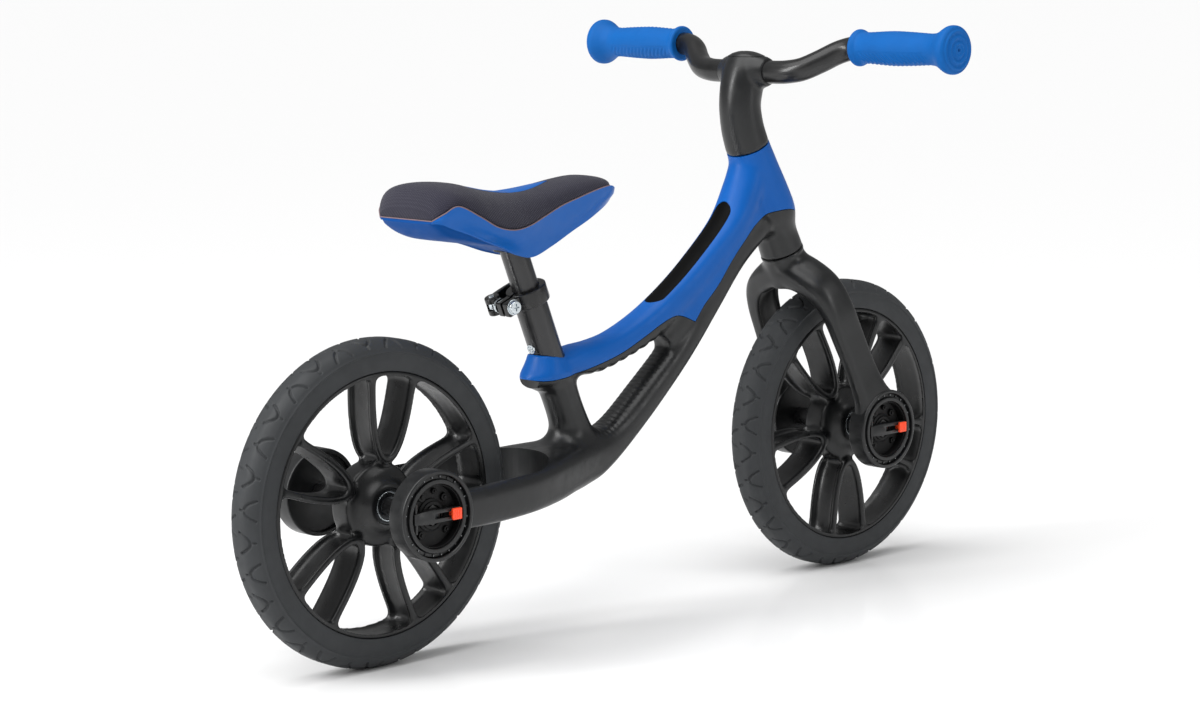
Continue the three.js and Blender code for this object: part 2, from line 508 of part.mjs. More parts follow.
piece('clamp_washer', seated(cup), 'steel');
// A small screw head on the back of the seat tube.
const screwHead = upright(rodProfile(3.6, SEAT_TUBE_R + GAP, SEAT_TUBE_R + 2.2), 16).rotate([0, -90, 0]);
piece('seat_tube_screw', seated(screwHead.translate([0, 0, 12.5])), 'steel');

// ---- saddle -------------------------------------------------------------------------------------
// Stations run from the tail to the nose: x, half-width, side edge height, crown height,
// half-width of the lower edge, height of the lower edge.
const saddle = [
  [43, 35, 389.5, 396, 33.5, 387], [50, 44, 396, 408, 36.5, 384.5], [62, 49.5, 402, 416, 38, 379.5],
  [84, 51.5, 392, 419, 36.5, 371.5], [107, 49, 381, 415, 29, 362.5], [130, 44.5, 376.5, 410.5, 22.5, 354.5],
  [153, 38.5, 378, 408.5, 18, 348.5], [176, 33.5, 384.5, 409.5, 15.5, 347], [200, 30, 392.5, 412.5, 14.5, 356.5],
  [224, 28, 398.5, 416, 14.5, 370.5], [248, 26, 404, 418, 13, 381.5], [268, 22.5, 406.5, 415, 10.5, 388],
  [280, 15.5, 403.5, 408.5, 6.5, 392], [286.5, 7, 399.5, 401.5, 3.5, 395]];
const saddleCurve = (k) => new THREE.CatmullRomCurve3(
  saddle.map((s) => new THREE.Vector3(s[k], s[k + 1], s[k + 2])), false, 'catmullrom', 0.5);
const saddleShape = [saddleCurve(0), saddleCurve(3)];
const saddleAt = (t) => {
  const [a, b] = saddleShape.map((curve) => curve.getPoint(t));
  return { x: a.x, half: a.y, edge: a.z, crown: b.x, lowHalf: b.y, low: b.z };
};
const SADDLE_STEPS = 17;
const SHELL_WALL = 3;
const PATCH_BACK = 122;        // ends and half-width of the patch on the saddle
const PATCH_FRONT = 214;
const PATCH_HALF = 13;
const PATCH_DEPTH = 2;
const saddleRings = (section) => Array.from({ length: SADDLE_STEPS + 1 }, (_, i) => {
  const s = saddleAt(i / SADDLE_STEPS);
  return section(s).map(([y, z]) => new THREE.Vector3(s.x, y, z));
});
const cushionSection = (s) => {
  const points = [];
  const arcSteps = 10;
  for (let i = 0; i <= arcSteps; i++) {
    const angle = (i / arcSteps) * Math.PI;
    const y = s.half * Math.sign(Math.cos(angle)) * Math.abs(Math.cos(angle)) ** 0.8;
    points.push([y, s.edge + GAP + (s.crown - s.edge - GAP) * Math.sin(angle) ** 0.8]);
  }
  return points;
};
// The shell is a tub: the same stations drawn in by its wall make the hollow, open at the top.
const shellSection = (inset, lift) => (s) => {
  const side = s.lowHalf + (s.half - s.lowHalf) * 0.45 - inset;
  const sideZ = s.low + (s.edge - s.low) * 0.42 + inset;
  const low = s.lowHalf - inset * 0.7;
  const top = s.half - inset;
  return [[top, s.edge + lift], [-top, s.edge + lift], [-side, sideZ], [-low, s.low + inset],
    [0, s.low - 1.5 + inset], [low, s.low + inset], [side, sideZ]];
};
const cushion = solid(skin(saddleRings(cushionSection)));
const shellOuter = solid(skin(saddleRings(shellSection(0, 0))));
const hollowStations = (i) => i > 1 && i < SADDLE_STEPS - 2;
const shellHollow = solid(skin(saddleRings(shellSection(SHELL_WALL, 2)).filter((_, i) => hollowStations(i))));
const postBoss = seated(upright(rodProfile(18.5, 92, POST_TOP - GAP), 24)).intersect(shellOuter);
const SCREW_REACH = 15.2;
const screwRods = (r, low, top, segments = 10) => [-1, 1].map((s) => seated(
  upright(rodProfile(r, low, top), segments).translate([0, s * SCREW_REACH, 0])));
const shell = cut(union(cut(shellOuter, shellHollow), postBoss),
  seated(upright(rodProfile(POST_R + 2 * GAP, 60, 140), 24)), ...screwRods(1.9, 102, 130));
const plateTop = POST_TOP + 2.7;
const seatPlate = cut(union(upright(rodProfile(18.2, POST_TOP + GAP, plateTop), 24),
  upright(rodProfile(POST_R - 2 - 2 * GAP, POST_TOP - 12, POST_TOP + 1), 16)));
piece('seat_plate', cut(seated(seatPlate), ...screwRods(1.9, 100, 130)), 'steel');
screwRods(1.6, 103, plateTop + 1).forEach((rod, i) => piece(`seat_screw_${SIDES[i][0]}`,
  union(rod, screwRods(2.9, plateTop + GAP, plateTop + 2, 12)[i]), 'steel'));

// A glossy lens-shaped patch is let into the top of the cushion.
const patchShape = (grow) => {
  const shape = new THREE.Shape();
  const [back, front, half] = [PATCH_BACK - grow, PATCH_FRONT + grow, PATCH_HALF + grow];
  shape.moveTo(back, 0);
  shape.quadraticCurveTo((back + front) / 2, -2 * half, front, 0);
  shape.quadraticCurveTo((back + front) / 2, 2 * half, back, 0);
  return shape;
};
const sunk = (depth) => solid(skin(saddleRings(cushionSection).map((r) => r.map((p) => p.clone().setZ(p.z - depth)))));
const patchAt = (grow) => cut(slab(patchShape(grow), 380, 440).intersect(cushion), sunk(PATCH_DEPTH + grow));
piece('seat_patch', patchAt(0), 'shell');
piece('seat_cushion', cut(cushion, patchAt(GAP)), 'fabric');
piece('seat_shell', shell, 'shell');

// ---- assembly -----------------------------------------------------------------------------------
const bike = new THREE.Group();
bike.position.x = -WHEELBASE / 2;
for (const [name, body, finish] of pieces) {
  const mesh = new THREE.Mesh(geometryOf(body), materialOf(finish));
  mesh.name = name;
  bike.add(mesh);
}
export default bike;
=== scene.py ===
"""Looks of a child's balance bike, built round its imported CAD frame.

Shapes are worked out in millimetres with x measured from the rear axle and z from the ground;
place() turns them into the frame's metres, whose origin lies midway between the axles.
"""
import math

import bmesh
import bpy
import numpy as np
from mathutils import Matrix, Vector
from mathutils.bvhtree import BVHTree


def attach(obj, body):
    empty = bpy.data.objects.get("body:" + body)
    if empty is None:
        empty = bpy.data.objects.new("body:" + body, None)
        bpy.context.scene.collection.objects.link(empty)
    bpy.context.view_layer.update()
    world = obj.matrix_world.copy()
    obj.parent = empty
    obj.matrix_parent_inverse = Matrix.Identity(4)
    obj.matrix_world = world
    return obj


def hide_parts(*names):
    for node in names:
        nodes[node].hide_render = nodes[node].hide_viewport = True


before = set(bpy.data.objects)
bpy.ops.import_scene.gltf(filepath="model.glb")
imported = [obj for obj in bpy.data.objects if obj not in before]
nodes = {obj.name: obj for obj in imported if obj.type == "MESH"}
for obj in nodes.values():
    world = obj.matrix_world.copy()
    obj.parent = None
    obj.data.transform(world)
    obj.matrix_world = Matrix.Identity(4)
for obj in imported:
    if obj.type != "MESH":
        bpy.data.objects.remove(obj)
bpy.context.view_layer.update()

# ---- sizes, as in the CAD part ----
WHEELBASE = 606.0
TYRE_R = 145.0
HEAD_TILT = math.radians(24.85)
SEAT_TILT = math.radians(21.8)
SEAT_X, SEAT_Z = 207.4, 255.0
HEAD_LOW, HEAD_TOP = 201.0, 314.0
REAR_FACE, FRONT_FACE = 89.2, 68.3
DISC_R = 39.4
BAR_X, BAR_Z = 474.0, 503.0
GRIP_X, GRIP_Z = 503.0, 527.0
GRIP_IN, GRIP_OUT = 116.0, 231.0
SIDES = (("right", -1), ("left", 1))
WELD = 2e-6
HOUSING_DEPTH = 19.0
RECESS_R = 35.8
TICKS = 24


# ---- meshes ----
def place(points):
    """Millimetres from the rear axle to the frame's metres."""
    return (np.asarray(points, float) - [WHEELBASE / 2, 0, 0]) * 0.001


def added(name, data):
    """A new object in the scene."""
    obj = bpy.data.objects.new(name, data)
    bpy.context.scene.collection.objects.link(obj)
    return obj


def reworked(mesh, change):
    bm = bmesh.new()
    bm.from_mesh(mesh)
    change(bm)
    bm.to_mesh(mesh)
    bm.free()


def make(name, verts, faces, smooth=True):
    mesh = bpy.data.meshes.new(name)
    mesh.from_pydata(place(verts).tolist(), [], faces)
    reworked(mesh, lambda bm: bmesh.ops.recalc_face_normals(bm, faces=bm.faces))
    if smooth:
        mesh.shade_smooth()
    return added(name, mesh)


def settle(obj):
    """Applies an object's modifiers."""
    graph = bpy.context.evaluated_depsgraph_get()
    mesh = bpy.data.meshes.new_from_object(obj.evaluated_get(graph))
    obj.modifiers.clear()
    old = obj.data
    obj.data = mesh
    bpy.data.meshes.remove(old)
    return obj


def crisp(obj, degrees=35):
    obj.data.shade_smooth()
    obj.data.set_sharp_from_angle(angle=math.radians(degrees))
    return obj


def merged(name, objs):
    """One object holding several closed shells, each with the material it had."""
    bm = bmesh.new()
    mesh = bpy.data.meshes.new(name)
    for obj in objs:
        start = len(bm.faces)
        bm.from_mesh(obj.data)
        bm.faces.ensure_lookup_table()
        for face in bm.faces[start:]:
            face.material_index = len(mesh.materials)
        for mat in obj.data.materials:
            mesh.materials.append(mat)
        bpy.data.objects.remove(obj)
    bm.to_mesh(mesh)
    bm.free()
    return added(name, mesh)


def reskin(obj, voxel, rounds):
    """Adds a new even skin, then smooths it; voxel is in millimetres."""
    remesh = obj.modifiers.new("remesh", "REMESH")
    remesh.mode = "VOXEL"
    remesh.voxel_size = voxel * 0.001
    soft = obj.modifiers.new("soften", "SMOOTH")
    soft.factor = 0.5
    soft.iterations = rounds


def melt(obj, voxel, smooth):
    """Joins overlapping shells into one skin with small moulded fillets."""
    reskin(obj, voxel, smooth)
    settle(obj)
    obj.data.shade_smooth()
    return obj


def fillet(obj, radius, voxel, smooth):
    """Fills inside corners with a moulded radius: the skin grows by the radius, joins up and shrinks back."""
    for sign, rounds in ((1, 10), (-1, smooth)):
        swell = obj.modifiers.new("swell", "DISPLACE")
        swell.strength = sign * radius * 0.001
        swell.mid_level = 0
        reskin(obj, voxel, rounds)
    settle(obj)
    obj.data.shade_smooth()
    return obj


def carve(obj, tool, operation="DIFFERENCE", keep=False):
    cutter = obj.modifiers.new("carve", "BOOLEAN")
    cutter.object = tool
    cutter.operation = operation
    cutter.solver = "MANIFOLD"
    settle(obj)
    if not keep:
        bpy.data.objects.remove(tool)
    return obj


def bevel(obj, width, segments=2, degrees=35):
    edge = obj.modifiers.new("bevel", "BEVEL")
    edge.width = width * 0.001
    edge.segments = segments
    edge.limit_method = "ANGLE"
    edge.angle_limit = math.radians(degrees)
    settle(obj)
    return crisp(obj, 50)


def copy_of(obj, name):
    return added(name, obj.data.copy())


def coords(obj):
    """An object's points in millimetres from the rear axle."""
    out = np.empty(len(obj.data.vertices) * 3)
    obj.data.vertices.foreach_get("co", out)
    return out.reshape(-1, 3) * 1000 + [WHEELBASE / 2, 0, 0]


def set_coords(obj, points):
    obj.data.vertices.foreach_set("co", place(points).ravel())
    obj.data.update()


def mirror_y(obj, side):
    """A shape built on the left, or its mirror image on the right when side is -1."""
    if side > 0:
        return obj
    pts = coords(obj)
    pts[:, 1] *= -1
    set_coords(obj, pts)
    obj.data.flip_normals()
    return obj


def moved(obj, dx=0.0, dy=0.0, dz=0.0):
    set_coords(obj, coords(obj) + [dx, dy, dz])
    return obj


def turned_about(obj, axis, degrees, x=0.0, z=0.0):
    """Turns an object about an axis through (x, z)."""
    spin = np.array(Matrix.Rotation(math.radians(degrees), 3, axis))
    centre = np.array([x, 0, z])
    set_coords(obj, (coords(obj) - centre) @ spin.T + centre)
    return obj


# ---- shapes ----
def unit(rows):
    return rows / np.maximum(np.linalg.norm(rows, axis=1), 1e-9)[:, None]


def full_turn(count):
    """Even angles round a circle."""
    return np.arange(count) / count * 2 * np.pi


def run_along(path):
    """The distance run along a path at each of its points."""
    return np.concatenate([[0], np.cumsum(np.linalg.norm(np.diff(path, axis=0), axis=1))])


def curve(points, ts):
    """A Catmull-Rom curve with half tension through points, at parameters ts from 0 to 1."""
    pts = np.asarray(points, float)
    ext = np.vstack([2 * pts[0] - pts[1], pts, 2 * pts[-1] - pts[-2]])
    u = np.clip(np.asarray(ts, float), 0, 1) * (len(pts) - 1)
    i = np.minimum(u.astype(int), len(pts) - 2)
    w = (u - i)[:, None]
    p0, p1, p2, p3 = (ext[i + k] for k in range(4))
    t0, t1 = 0.5 * (p2 - p0), 0.5 * (p3 - p1)
    return ((2 * p1 - 2 * p2 + t0 + t1) * w**3 + (-3 * p1 + 3 * p2 - 2 * t0 - t1) * w**2 + t0 * w + p1)


def tangents(points, ts):
    step = 1e-4
    lo, hi = np.clip(ts - step, 0, 1), np.clip(ts + step, 0, 1)
    return unit(curve(points, hi) - curve(points, lo))


def skin(name, rings, loop=False):
    """A skin through rings of equal length, capped at both ends or joined into a loop."""
    rings = np.asarray(rings, float)
    n, m = rings.shape[:2]
    faces = []
    for i in range(n if loop else n - 1):
        a, b = i * m, (i + 1) % n * m
        for j in range(m):
            k = (j + 1) % m
            faces.append((a + j, a + k, b + k, b + j))
    if not loop:
        faces.append(tuple(range(m - 1, -1, -1)))
        faces.append(tuple(range((n - 1) * m, n * m)))
    return make(name, rings.reshape(-1, 3), faces)


def limb_rings(stations, side, steps, count, shrink=0.0):
    st = np.asarray(stations, float)
    ts = np.linspace(0, 1, steps + 1)
    spine, sizes, along = curve(st[:, :3], ts), curve(st[:, 3:], ts), tangents(st[:, :3], ts)
    side = np.asarray(side, float)
    u = unit(side - along * (along @ side)[:, None])
    v = np.cross(along, u)
    angle = full_turn(count)
    c, s = np.cos(angle), np.sin(angle)
    rings = []
    for k in range(len(ts)):
        power = 2 / sizes[k, 2]
        a = (sizes[k, 0] - shrink) * np.sign(c) * np.abs(c) ** power
        b = (sizes[k, 1] - shrink) * np.sign(s) * np.abs(s) ** power
        rings.append(spine[k] + a[:, None] * u[k] + b[:, None] * v[k])
    return np.array(rings)


def limb(name, stations, side, steps, count, shrink=0.0):
    return skin(name, limb_rings(stations, side, steps, count, shrink))


def rounded(profile, radius, steps=4):
    """A profile with every corner between straight runs rounded off."""
    pts = [np.array(p, float) for p in profile]
    out = [pts[0]]
    for a, b, c in zip(pts, pts[1:], pts[2:]):
        into, onto = a - b, c - b
        la, lc = np.linalg.norm(into), np.linalg.norm(onto)
        r = min(radius, la * 0.45, lc * 0.45)
        p, q = b + into / la * r, b + onto / lc * r
        for t in np.linspace(0, 1, steps):
            out.append((1 - t) ** 2 * p + 2 * t * (1 - t) * b + t * t * q)
    out.append(pts[-1])
    return np.array(out)


def lathe(name, profile, segments, x=0.0, z=0.0, closed=False):
    """Turned about the Y axis through (x, z); the profile holds (radius, y)."""
    prof = np.asarray(profile, float)
    if closed and not np.allclose(prof[0], prof[-1]):
        prof = np.vstack([prof, prof[0]])
    angle = full_turn(segments)
    verts, faces, index = [], [], []
    for r, y in (prof[:-1] if closed else prof):
        if r < 1e-6:
            index.append([len(verts)] * segments)
            verts.append((x, y, z))
        else:
            index.append(list(range(len(verts), len(verts) + segments)))
            verts += [(x + r * math.sin(a), y, z + r * math.cos(a)) for a in angle]
    if closed:
        index.append(index[0])
    for p, q in zip(index, index[1:]):
        for j in range(segments):
            k = (j + 1) % segments
            quad = list(dict.fromkeys((p[j], p[k], q[k], q[j])))
            if len(quad) > 2:
                faces.append(tuple(quad))
    return make(name, verts, faces)


def rod(name, radius, y0, y1, x=0.0, z=0.0, segments=48, edge=0.4):
    return lathe(name, rounded([(0, y0), (radius, y0), (radius, y1), (0, y1)], edge), segments, x, z)


def tube(name, inner, outer, y0, y1, x=0.0, z=0.0, segments=64, edge=0.4):
    mid = (inner + outer) / 2
    prof = rounded([(mid, y0), (outer, y0), (outer, y1), (inner, y1), (inner, y0), (mid, y0)], edge)
    return lathe(name, prof, segments, x, z, closed=True)


def upright(obj):
    """A shape turned about Y stood up along Z, for use before leaned()."""
    pts = coords(obj)
    set_coords(obj, np.column_stack([pts[:, 0], -pts[:, 2], pts[:, 1]]))
    return obj


def leaned_points(pts, tilt, x, z):
    c, s = math.cos(tilt), math.sin(tilt)
    return np.column_stack([x + pts[:, 0] * c - pts[:, 2] * s, pts[:, 1], z + pts[:, 0] * s + pts[:, 2] * c])


def leaned(obj, tilt, x, z):
    set_coords(obj, leaned_points(coords(obj), tilt, x, z))
    return obj


def steered(obj):
    return leaned(obj, HEAD_TILT, WHEELBASE, TYRE_R)


def seated(obj):
    return leaned(obj, SEAT_TILT, SEAT_X, SEAT_Z)


def prism(name, outline, lo, hi, axis="y"):
    """An outline of (a, b) pairs pulled out between lo and hi: a, b are x, z for axis y and x, y for z."""
    n = len(outline)
    if axis == "y":
        verts = [(a, h, b) for h in (lo, hi) for a, b in outline]
    else:
        verts = [(a, b, h) for h in (lo, hi) for a, b in outline]
    faces = [tuple(range(n)), tuple(range(2 * n - 1, n - 1, -1))]
    faces += [(i, (i + 1) % n, n + (i + 1) % n, n + i) for i in range(n)]
    return make(name, verts, faces, smooth=False)


def block(name, x0, x1, y0, y1, z0, z1):
    return prism(name, [(x0, z0), (x1, z0), (x1, z1), (x0, z1)], y0, y1)


def arc(cx, cy, r, a0, a1, steps):
    return [(cx + r * math.cos(math.radians(a)), cy + r * math.sin(math.radians(a)))
            for a in np.linspace(a0, a1, steps)]


# ---- materials ----
def linear(rgb):
    return [c / 12.92 if c <= 0.04045 else ((c + 0.055) / 1.055) ** 2.4 for c in (v / 255 for v in rgb)]


def dial(node, values):
    """Sets a shader node's inputs."""
    for socket, value in values.items():
        node.inputs[socket].default_value = value


def shader(name, rgb, rough, *, metallic=0.0, grain=0.0, grain_size=0.5, mottle=0.06, mottle_size=25.0,
           wear=0.0, coat=0.0, sheen=0.0, specular=0.5, weave=0.0, rough_spread=0.06):
    """Procedural finish; sizes and grain, the depth of the surface texture, are in millimetres."""
    mat = bpy.data.materials.new(name)
    mat.use_nodes = True
    tree = mat.node_tree
    bsdf = tree.nodes["Principled BSDF"]
    new, link = tree.nodes.new, tree.links.new
    base = linear(rgb)
    mat.diffuse_color = (*base, 1)
    dial(bsdf, {"Metallic": metallic, "Coat Weight": coat, "Coat Roughness": 0.12, "Sheen Weight": sheen,
                "Sheen Roughness": 0.45, "Specular IOR Level": specular})
    where = new("ShaderNodeTexCoord")

    def noise(size, detail):
        node = new("ShaderNodeTexNoise")
        dial(node, {"Scale": 1000.0 / size, "Detail": detail})
        link(where.outputs["Object"], node.inputs["Vector"])
        return node.outputs["Fac"]

    def spread(source, low, high, start=0.3, stop=0.7):
        node = new("ShaderNodeMapRange")
        dial(node, {"From Min": start, "From Max": stop, "To Min": low, "To Max": high})
        link(source, node.inputs["Value"])
        return node.outputs["Result"]

    def mix(factor, a, b):
        node = new("ShaderNodeMix")
        node.data_type = "RGBA"
        link(factor, node.inputs["Factor"])
        for socket, value in (("A", a), ("B", b)):
            target = next(i for i in node.inputs if i.name == socket and i.type == "RGBA")
            if isinstance(value, list):
                target.default_value = (*value, 1)
            else:
                link(value, target)
        return next(o for o in node.outputs if o.type == "RGBA")

    cloudy = noise(mottle_size, 4)
    darker, lighter = [c * (1 - mottle) for c in base], [min(1, c * (1 + mottle)) for c in base]
    colour = mix(spread(cloudy, 0, 1), darker, lighter)
    if wear:
        edges = spread(new("ShaderNodeNewGeometry").outputs["Pointiness"], 0, wear, 0.52, 0.62)
        colour = mix(edges, colour, [min(1, c * 1.9 + 0.02) for c in base])
    height = None
    if weave:
        waves = []
        for lean, turn in ((-40, 45), (40, 135)):
            spin = new("ShaderNodeMapping")
            dial(spin, {"Rotation": (0, math.radians(lean), math.radians(turn))})
            link(where.outputs["Object"], spin.inputs["Vector"])
            wave = new("ShaderNodeTexWave")
            dial(wave, {"Scale": 1000.0 / weave / 3.2, "Distortion": 0.6})
            link(spin.outputs["Vector"], wave.inputs["Vector"])
            waves.append(wave.outputs["Fac"])
        both = new("ShaderNodeMath")
        both.operation = "MULTIPLY"
        link(waves[0], both.inputs[0])
        link(waves[1], both.inputs[1])
        height = both.outputs["Value"]
        colour = mix(spread(height, 0, 1), [c * 0.72 for c in base], colour)
    link(colour, bsdf.inputs["Base Color"])
    patchy = noise(mottle_size * 0.4, 3)
    link(spread(patchy, rough - rough_spread, rough + rough_spread), bsdf.inputs["Roughness"])
    if grain:
        bump = new("ShaderNodeBump")
        dial(bump, {"Strength": 1.0, "Distance": grain * 0.001})
        link(height if height is not None else noise(grain_size, 3), bump.inputs["Height"])
        link(bump.outputs["Normal"], bsdf.inputs["Normal"])
    return mat


NYLON = shader("moulded_nylon", (21, 22, 23), 0.34, specular=0.42, grain=0.03, grain_size=0.9, wear=0.25)
WHEEL_NYLON = shader("wheel_nylon", (15, 16, 17), 0.32, specular=0.42, grain=0.03, grain_size=1.1, wear=0.3)
TYRE_FOAM = shader("tyre_foam", (44, 46, 48), 0.6, grain=0.05, grain_size=0.7,
                   mottle=0.1, wear=0.12, specular=0.35)
BLUE = shader("blue_moulding", (2, 84, 164), 0.4, specular=0.2, grain=0.012, grain_size=1.4,
              mottle=0.03, wear=0.12)
SEAT_BLUE = shader("seat_blue_moulding", (0, 86, 166), 0.36, specular=0.25, grain=0.012,
                   grain_size=1.4, mottle=0.03, wear=0.12)
# Painted shade: the saddle's belly gets a darker blue than its sides, standing in for the shade under the
# saddle.
BELLY_SHADE_BLUE = shader("seat_belly_painted_shade", (0, 66, 134), 0.6, specular=0.1, grain=0.03, grain_size=1.0,
                        mottle=0.03)
GRIP_BLUE = shader("grip_rubber", (0, 88, 162), 0.6, grain=0.03, grain_size=0.6, mottle=0.05, specular=0.18)
SATIN_BLACK = shader("satin_black", (13, 13, 14), 0.3, grain=0.004, grain_size=1.8, mottle=0.03, wear=0.15)
PAINT = shader("satin_paint", (22, 22, 24), 0.32, grain=0.0005, grain_size=4.0, coat=0.25, mottle=0.02)
BAR_PAINT = shader("gloss_paint", (9, 9, 10), 0.34, grain=0.001, grain_size=4.0, coat=0.25,
                   mottle=0.02, specular=0.4)
FABRIC = shader("seat_fabric", (50, 49, 62), 0.9, grain=0.35, weave=1.5, sheen=0.12,
                specular=0.2, mottle=0.12)
PIPING = shader("seat_piping", (120, 98, 100), 0.7, grain=0.05, grain_size=0.6)
STEEL = shader("bright_steel", (196, 203, 207), 0.24, metallic=1.0, grain=0.01, grain_size=0.8, mottle=0.08)
DARK_STEEL = shader("dark_steel", (60, 62, 64), 0.35, metallic=0.9, grain=0.01, grain_size=0.8)
STRIP_BLACK = shader("strip_inlay", (2, 2, 2), 0.5, specular=0.06, grain=0.01, grain_size=1.0)
# Painted shade: a black darker than satin_black for the mechanism at the bottom of the housing recesses,
# standing in for the shade there.
RECESS = shader("recess_black_and_painted_shade", (9, 9, 10), 0.5, specular=0.25, grain=0.02, grain_size=0.8)
ORANGE = shader("orange_button", (255, 78, 36), 0.4, grain=0.02, grain_size=0.8, mottle=0.04)
TICK = shader("pale_marks", (150, 152, 155), 0.5, grain=0.01, grain_size=0.6)


def dress(obj, mat):
    obj.data.materials.clear()
    obj.data.materials.append(mat)


def weld(obj):
    """Joins points a cut has left less than WELD metres apart, so that no slivers stay in the skin."""
    reworked(obj.data, lambda bm: bmesh.ops.remove_doubles(bm, verts=bm.verts, dist=WELD))


def finish(obj, mat, body, slot, *replaced):
    """Gives a piece its material and its body, and hides the CAD nodes it stands for; slot is not used."""
    weld(obj)
    dress(obj, mat)
    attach(obj, body)
    if replaced:
        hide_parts(*replaced)
    return obj


# ---- tyres ----
TYRE_STEPS = 1040
CUTS, CUT_HALF, CUT_EDGE, CUT_DEPTH = 32, 1.3, 0.45, 1.7


def tyre(name, x):
    """A foam tyre with a smooth side band and branching cuts along both shoulders."""
    half = [(TYRE_R, 0), (TYRE_R, 4.5), (144.2, 8.5), (141.8, 12.6), (138.4, 16), (135.4, 17.9),
            (134.2, 18.8), (133.2, 18.7), (132.2, 18.1), (127, 18.5), (121.5, 18.2), (118.2, 17.7),
            (116.9, 16.9), (118, 15), (118.4, 13.9)]
    dense = curve(half, np.linspace(0, 1, 100))
    dense[:, 0] = np.minimum(dense[:, 0], TYRE_R)
    dense[:, 1] = np.maximum(dense[:, 1], 0)
    prof = np.vstack([(dense * [1, -1])[:0:-1], dense, [(118.3, 6.9), (118.3, 0), (118.3, -6.9)]])
    steps = TYRE_STEPS
    angle = full_turn(steps)
    run = run_along(prof)
    across = run - run[len(dense) - 1]
    pitch = 2 * np.pi * TYRE_R / CUTS
    around = angle * TYRE_R
    depth = np.zeros((len(prof), steps))

    def stroke(du, dv, points):
        """Deepens the skin along a stroke of round dabs."""
        for u, v in points:
            near = np.clip((CUT_HALF - np.hypot(du[None, :] - u, dv[:, None] - v)) / CUT_EDGE, 0, 1)
            np.maximum(depth, near, out=depth)

    for sign in (-1, 1):
        for turn in (-1, 1):
            shift = pitch * (0.5 + (turn > 0) + 0.5 * (sign > 0))
            du = (around - shift + pitch) % (2 * pitch) - pitch
            dv = turn * (across * sign - 10.5)
            for arm in (-1, 1):
                bend = [(arm * (0.4 + 8.6 * t ** 0.8), 2.5 - 10.5 * t ** 1.6) for t in np.linspace(0, 1, 16)]
                stroke(du, dv, bend)
            stroke(du, dv, [(0, 2.5 + 4.5 * t) for t in np.linspace(0, 1, 5)])
    r = prof[:, :1] - CUT_DEPTH * depth
    y = np.repeat(prof[:, 1:], steps, axis=1) - np.sign(prof[:, 1:]) * 0.5 * depth
    return skin(name, np.stack([x + r * np.sin(angle), y, TYRE_R + r * np.cos(angle)], -1), loop=True)


# ---- wheels ----
def rib(name):
    """A U-shaped spoke pair: thick lips along both edges and a hollowed outer flank."""
    arm = [(22.8, 114), (21.6, 100), (19.8, 85), (17.6, 72), (14.6, 60), (10.8, 50), (6, 42.6)]
    path = curve(arm + [(0, 39.6)] + [(-a, b) for a, b in arm[::-1]], np.linspace(0, 1, 61))[::-1]
    section = [(-17.0, -3.4), (-15.0, -3.7), (-13.0, -3.4), (-11.4, -1.2), (-8.0, 0.2), (0.0, 0.6),
               (8.0, 0.2), (11.4, -1.2), (13.0, -3.4), (15.0, -3.7), (17.0, -3.4), (17.4, 0.0), (16.8, 2.8),
               (14.0, 3.5), (11.0, 3.0), (0.0, 2.8), (-11.0, 3.0), (-14.0, 3.5), (-16.8, 2.8), (-17.4, 0.0)]
    d = unit(np.gradient(path, axis=0))
    inward = np.column_stack([-d[:, 1], d[:, 0]])
    rings = []
    for p, n in zip(path, inward):
        flare = max(0.0, (p[1] - 98) / 15) ** 2 * 3.0
        ring = []
        for y, h in section:
            out = h - flare if h < 0.5 else h
            q = p + n * out
            ring.append((q[0], y, q[1]))
        rings.append(ring)
    return skin(name, rings)


def wheel(name, x, phase):
    """Barrel, bell hub and five U-shaped ribs moulded together; phase is the first rib's angle from +X."""
    barrel_half = [(112.2, 17.6), (113.6, 18.0), (116.2, 17.4), (117.4, 15.5), (117.8, 12.5)]
    inner = [(114.6, 12.5), (113.3, 15.5)]
    prof = [(r, -y) for r, y in barrel_half] + [(117.8, 0)] + [(r, y) for r, y in barrel_half[::-1]]
    prof += [(r, y) for r, y in inner[::-1]] + [(114.9, 0)] + [(r, -y) for r, y in inner]
    parts = [lathe("barrel", rounded(prof + prof[:1], 0.6, 3)[1:], 160, closed=True)]
    bell = [(0, -23.8), (18.2, -23.8), (20.8, -22), (23.4, -18.8), (27, -15.6), (31.5, -13.4), (35.6, -12),
            (37.2, -9.5), (37.5, 0)]
    hub = rounded(bell + [(r, -y) for r, y in bell[-2::-1]], 1.5, 4)
    parts.append(lathe("hub", hub, 96))
    for k in range(5):
        parts.append(turned_about(rib(f"rib{k}"), "Y", 90 - phase - 72 * k))
    body = fillet(merged(name, parts), 3.2, 1.15, smooth=2)
    carve(body, rod("bore", 9.6, -60, 60, edge=0))
    for s in (-1, 1):
        lo, hi = sorted((s * 15.5, s * 40))
        carve(body, rod("seat", 16.4, lo, hi, segments=64, edge=0))
    crisp(body, 40)
    return moved(body, x, 0, TYRE_R)


def bearing(name, x, s):
    """Dark outer ring, bright race and shield of a hub bearing."""
    y0, y1 = 16.0, 22.6
    rings = ((tube("outer", 13.2, 16.1, y0, y1, segments=72), DARK_STEEL),
             (tube("race", 11.9, 13.1, y0, y1 + 0.3, segments=72, edge=0.3), STEEL),
             (tube("core", 5.4, 7.6, y0, y1 + 0.3, segments=48, edge=0.3), STEEL),
             (tube("shield", 7.7, 11.8, y0 + 0.5, y1 - 0.6, segments=64, edge=0.2), DARK_STEEL))
    for ring, mat in rings:
        dress(ring, mat)
    obj = crisp(merged(name, [ring for ring, _ in rings]), 50)
    return moved(mirror_y(obj, s), x, 0, TYRE_R)


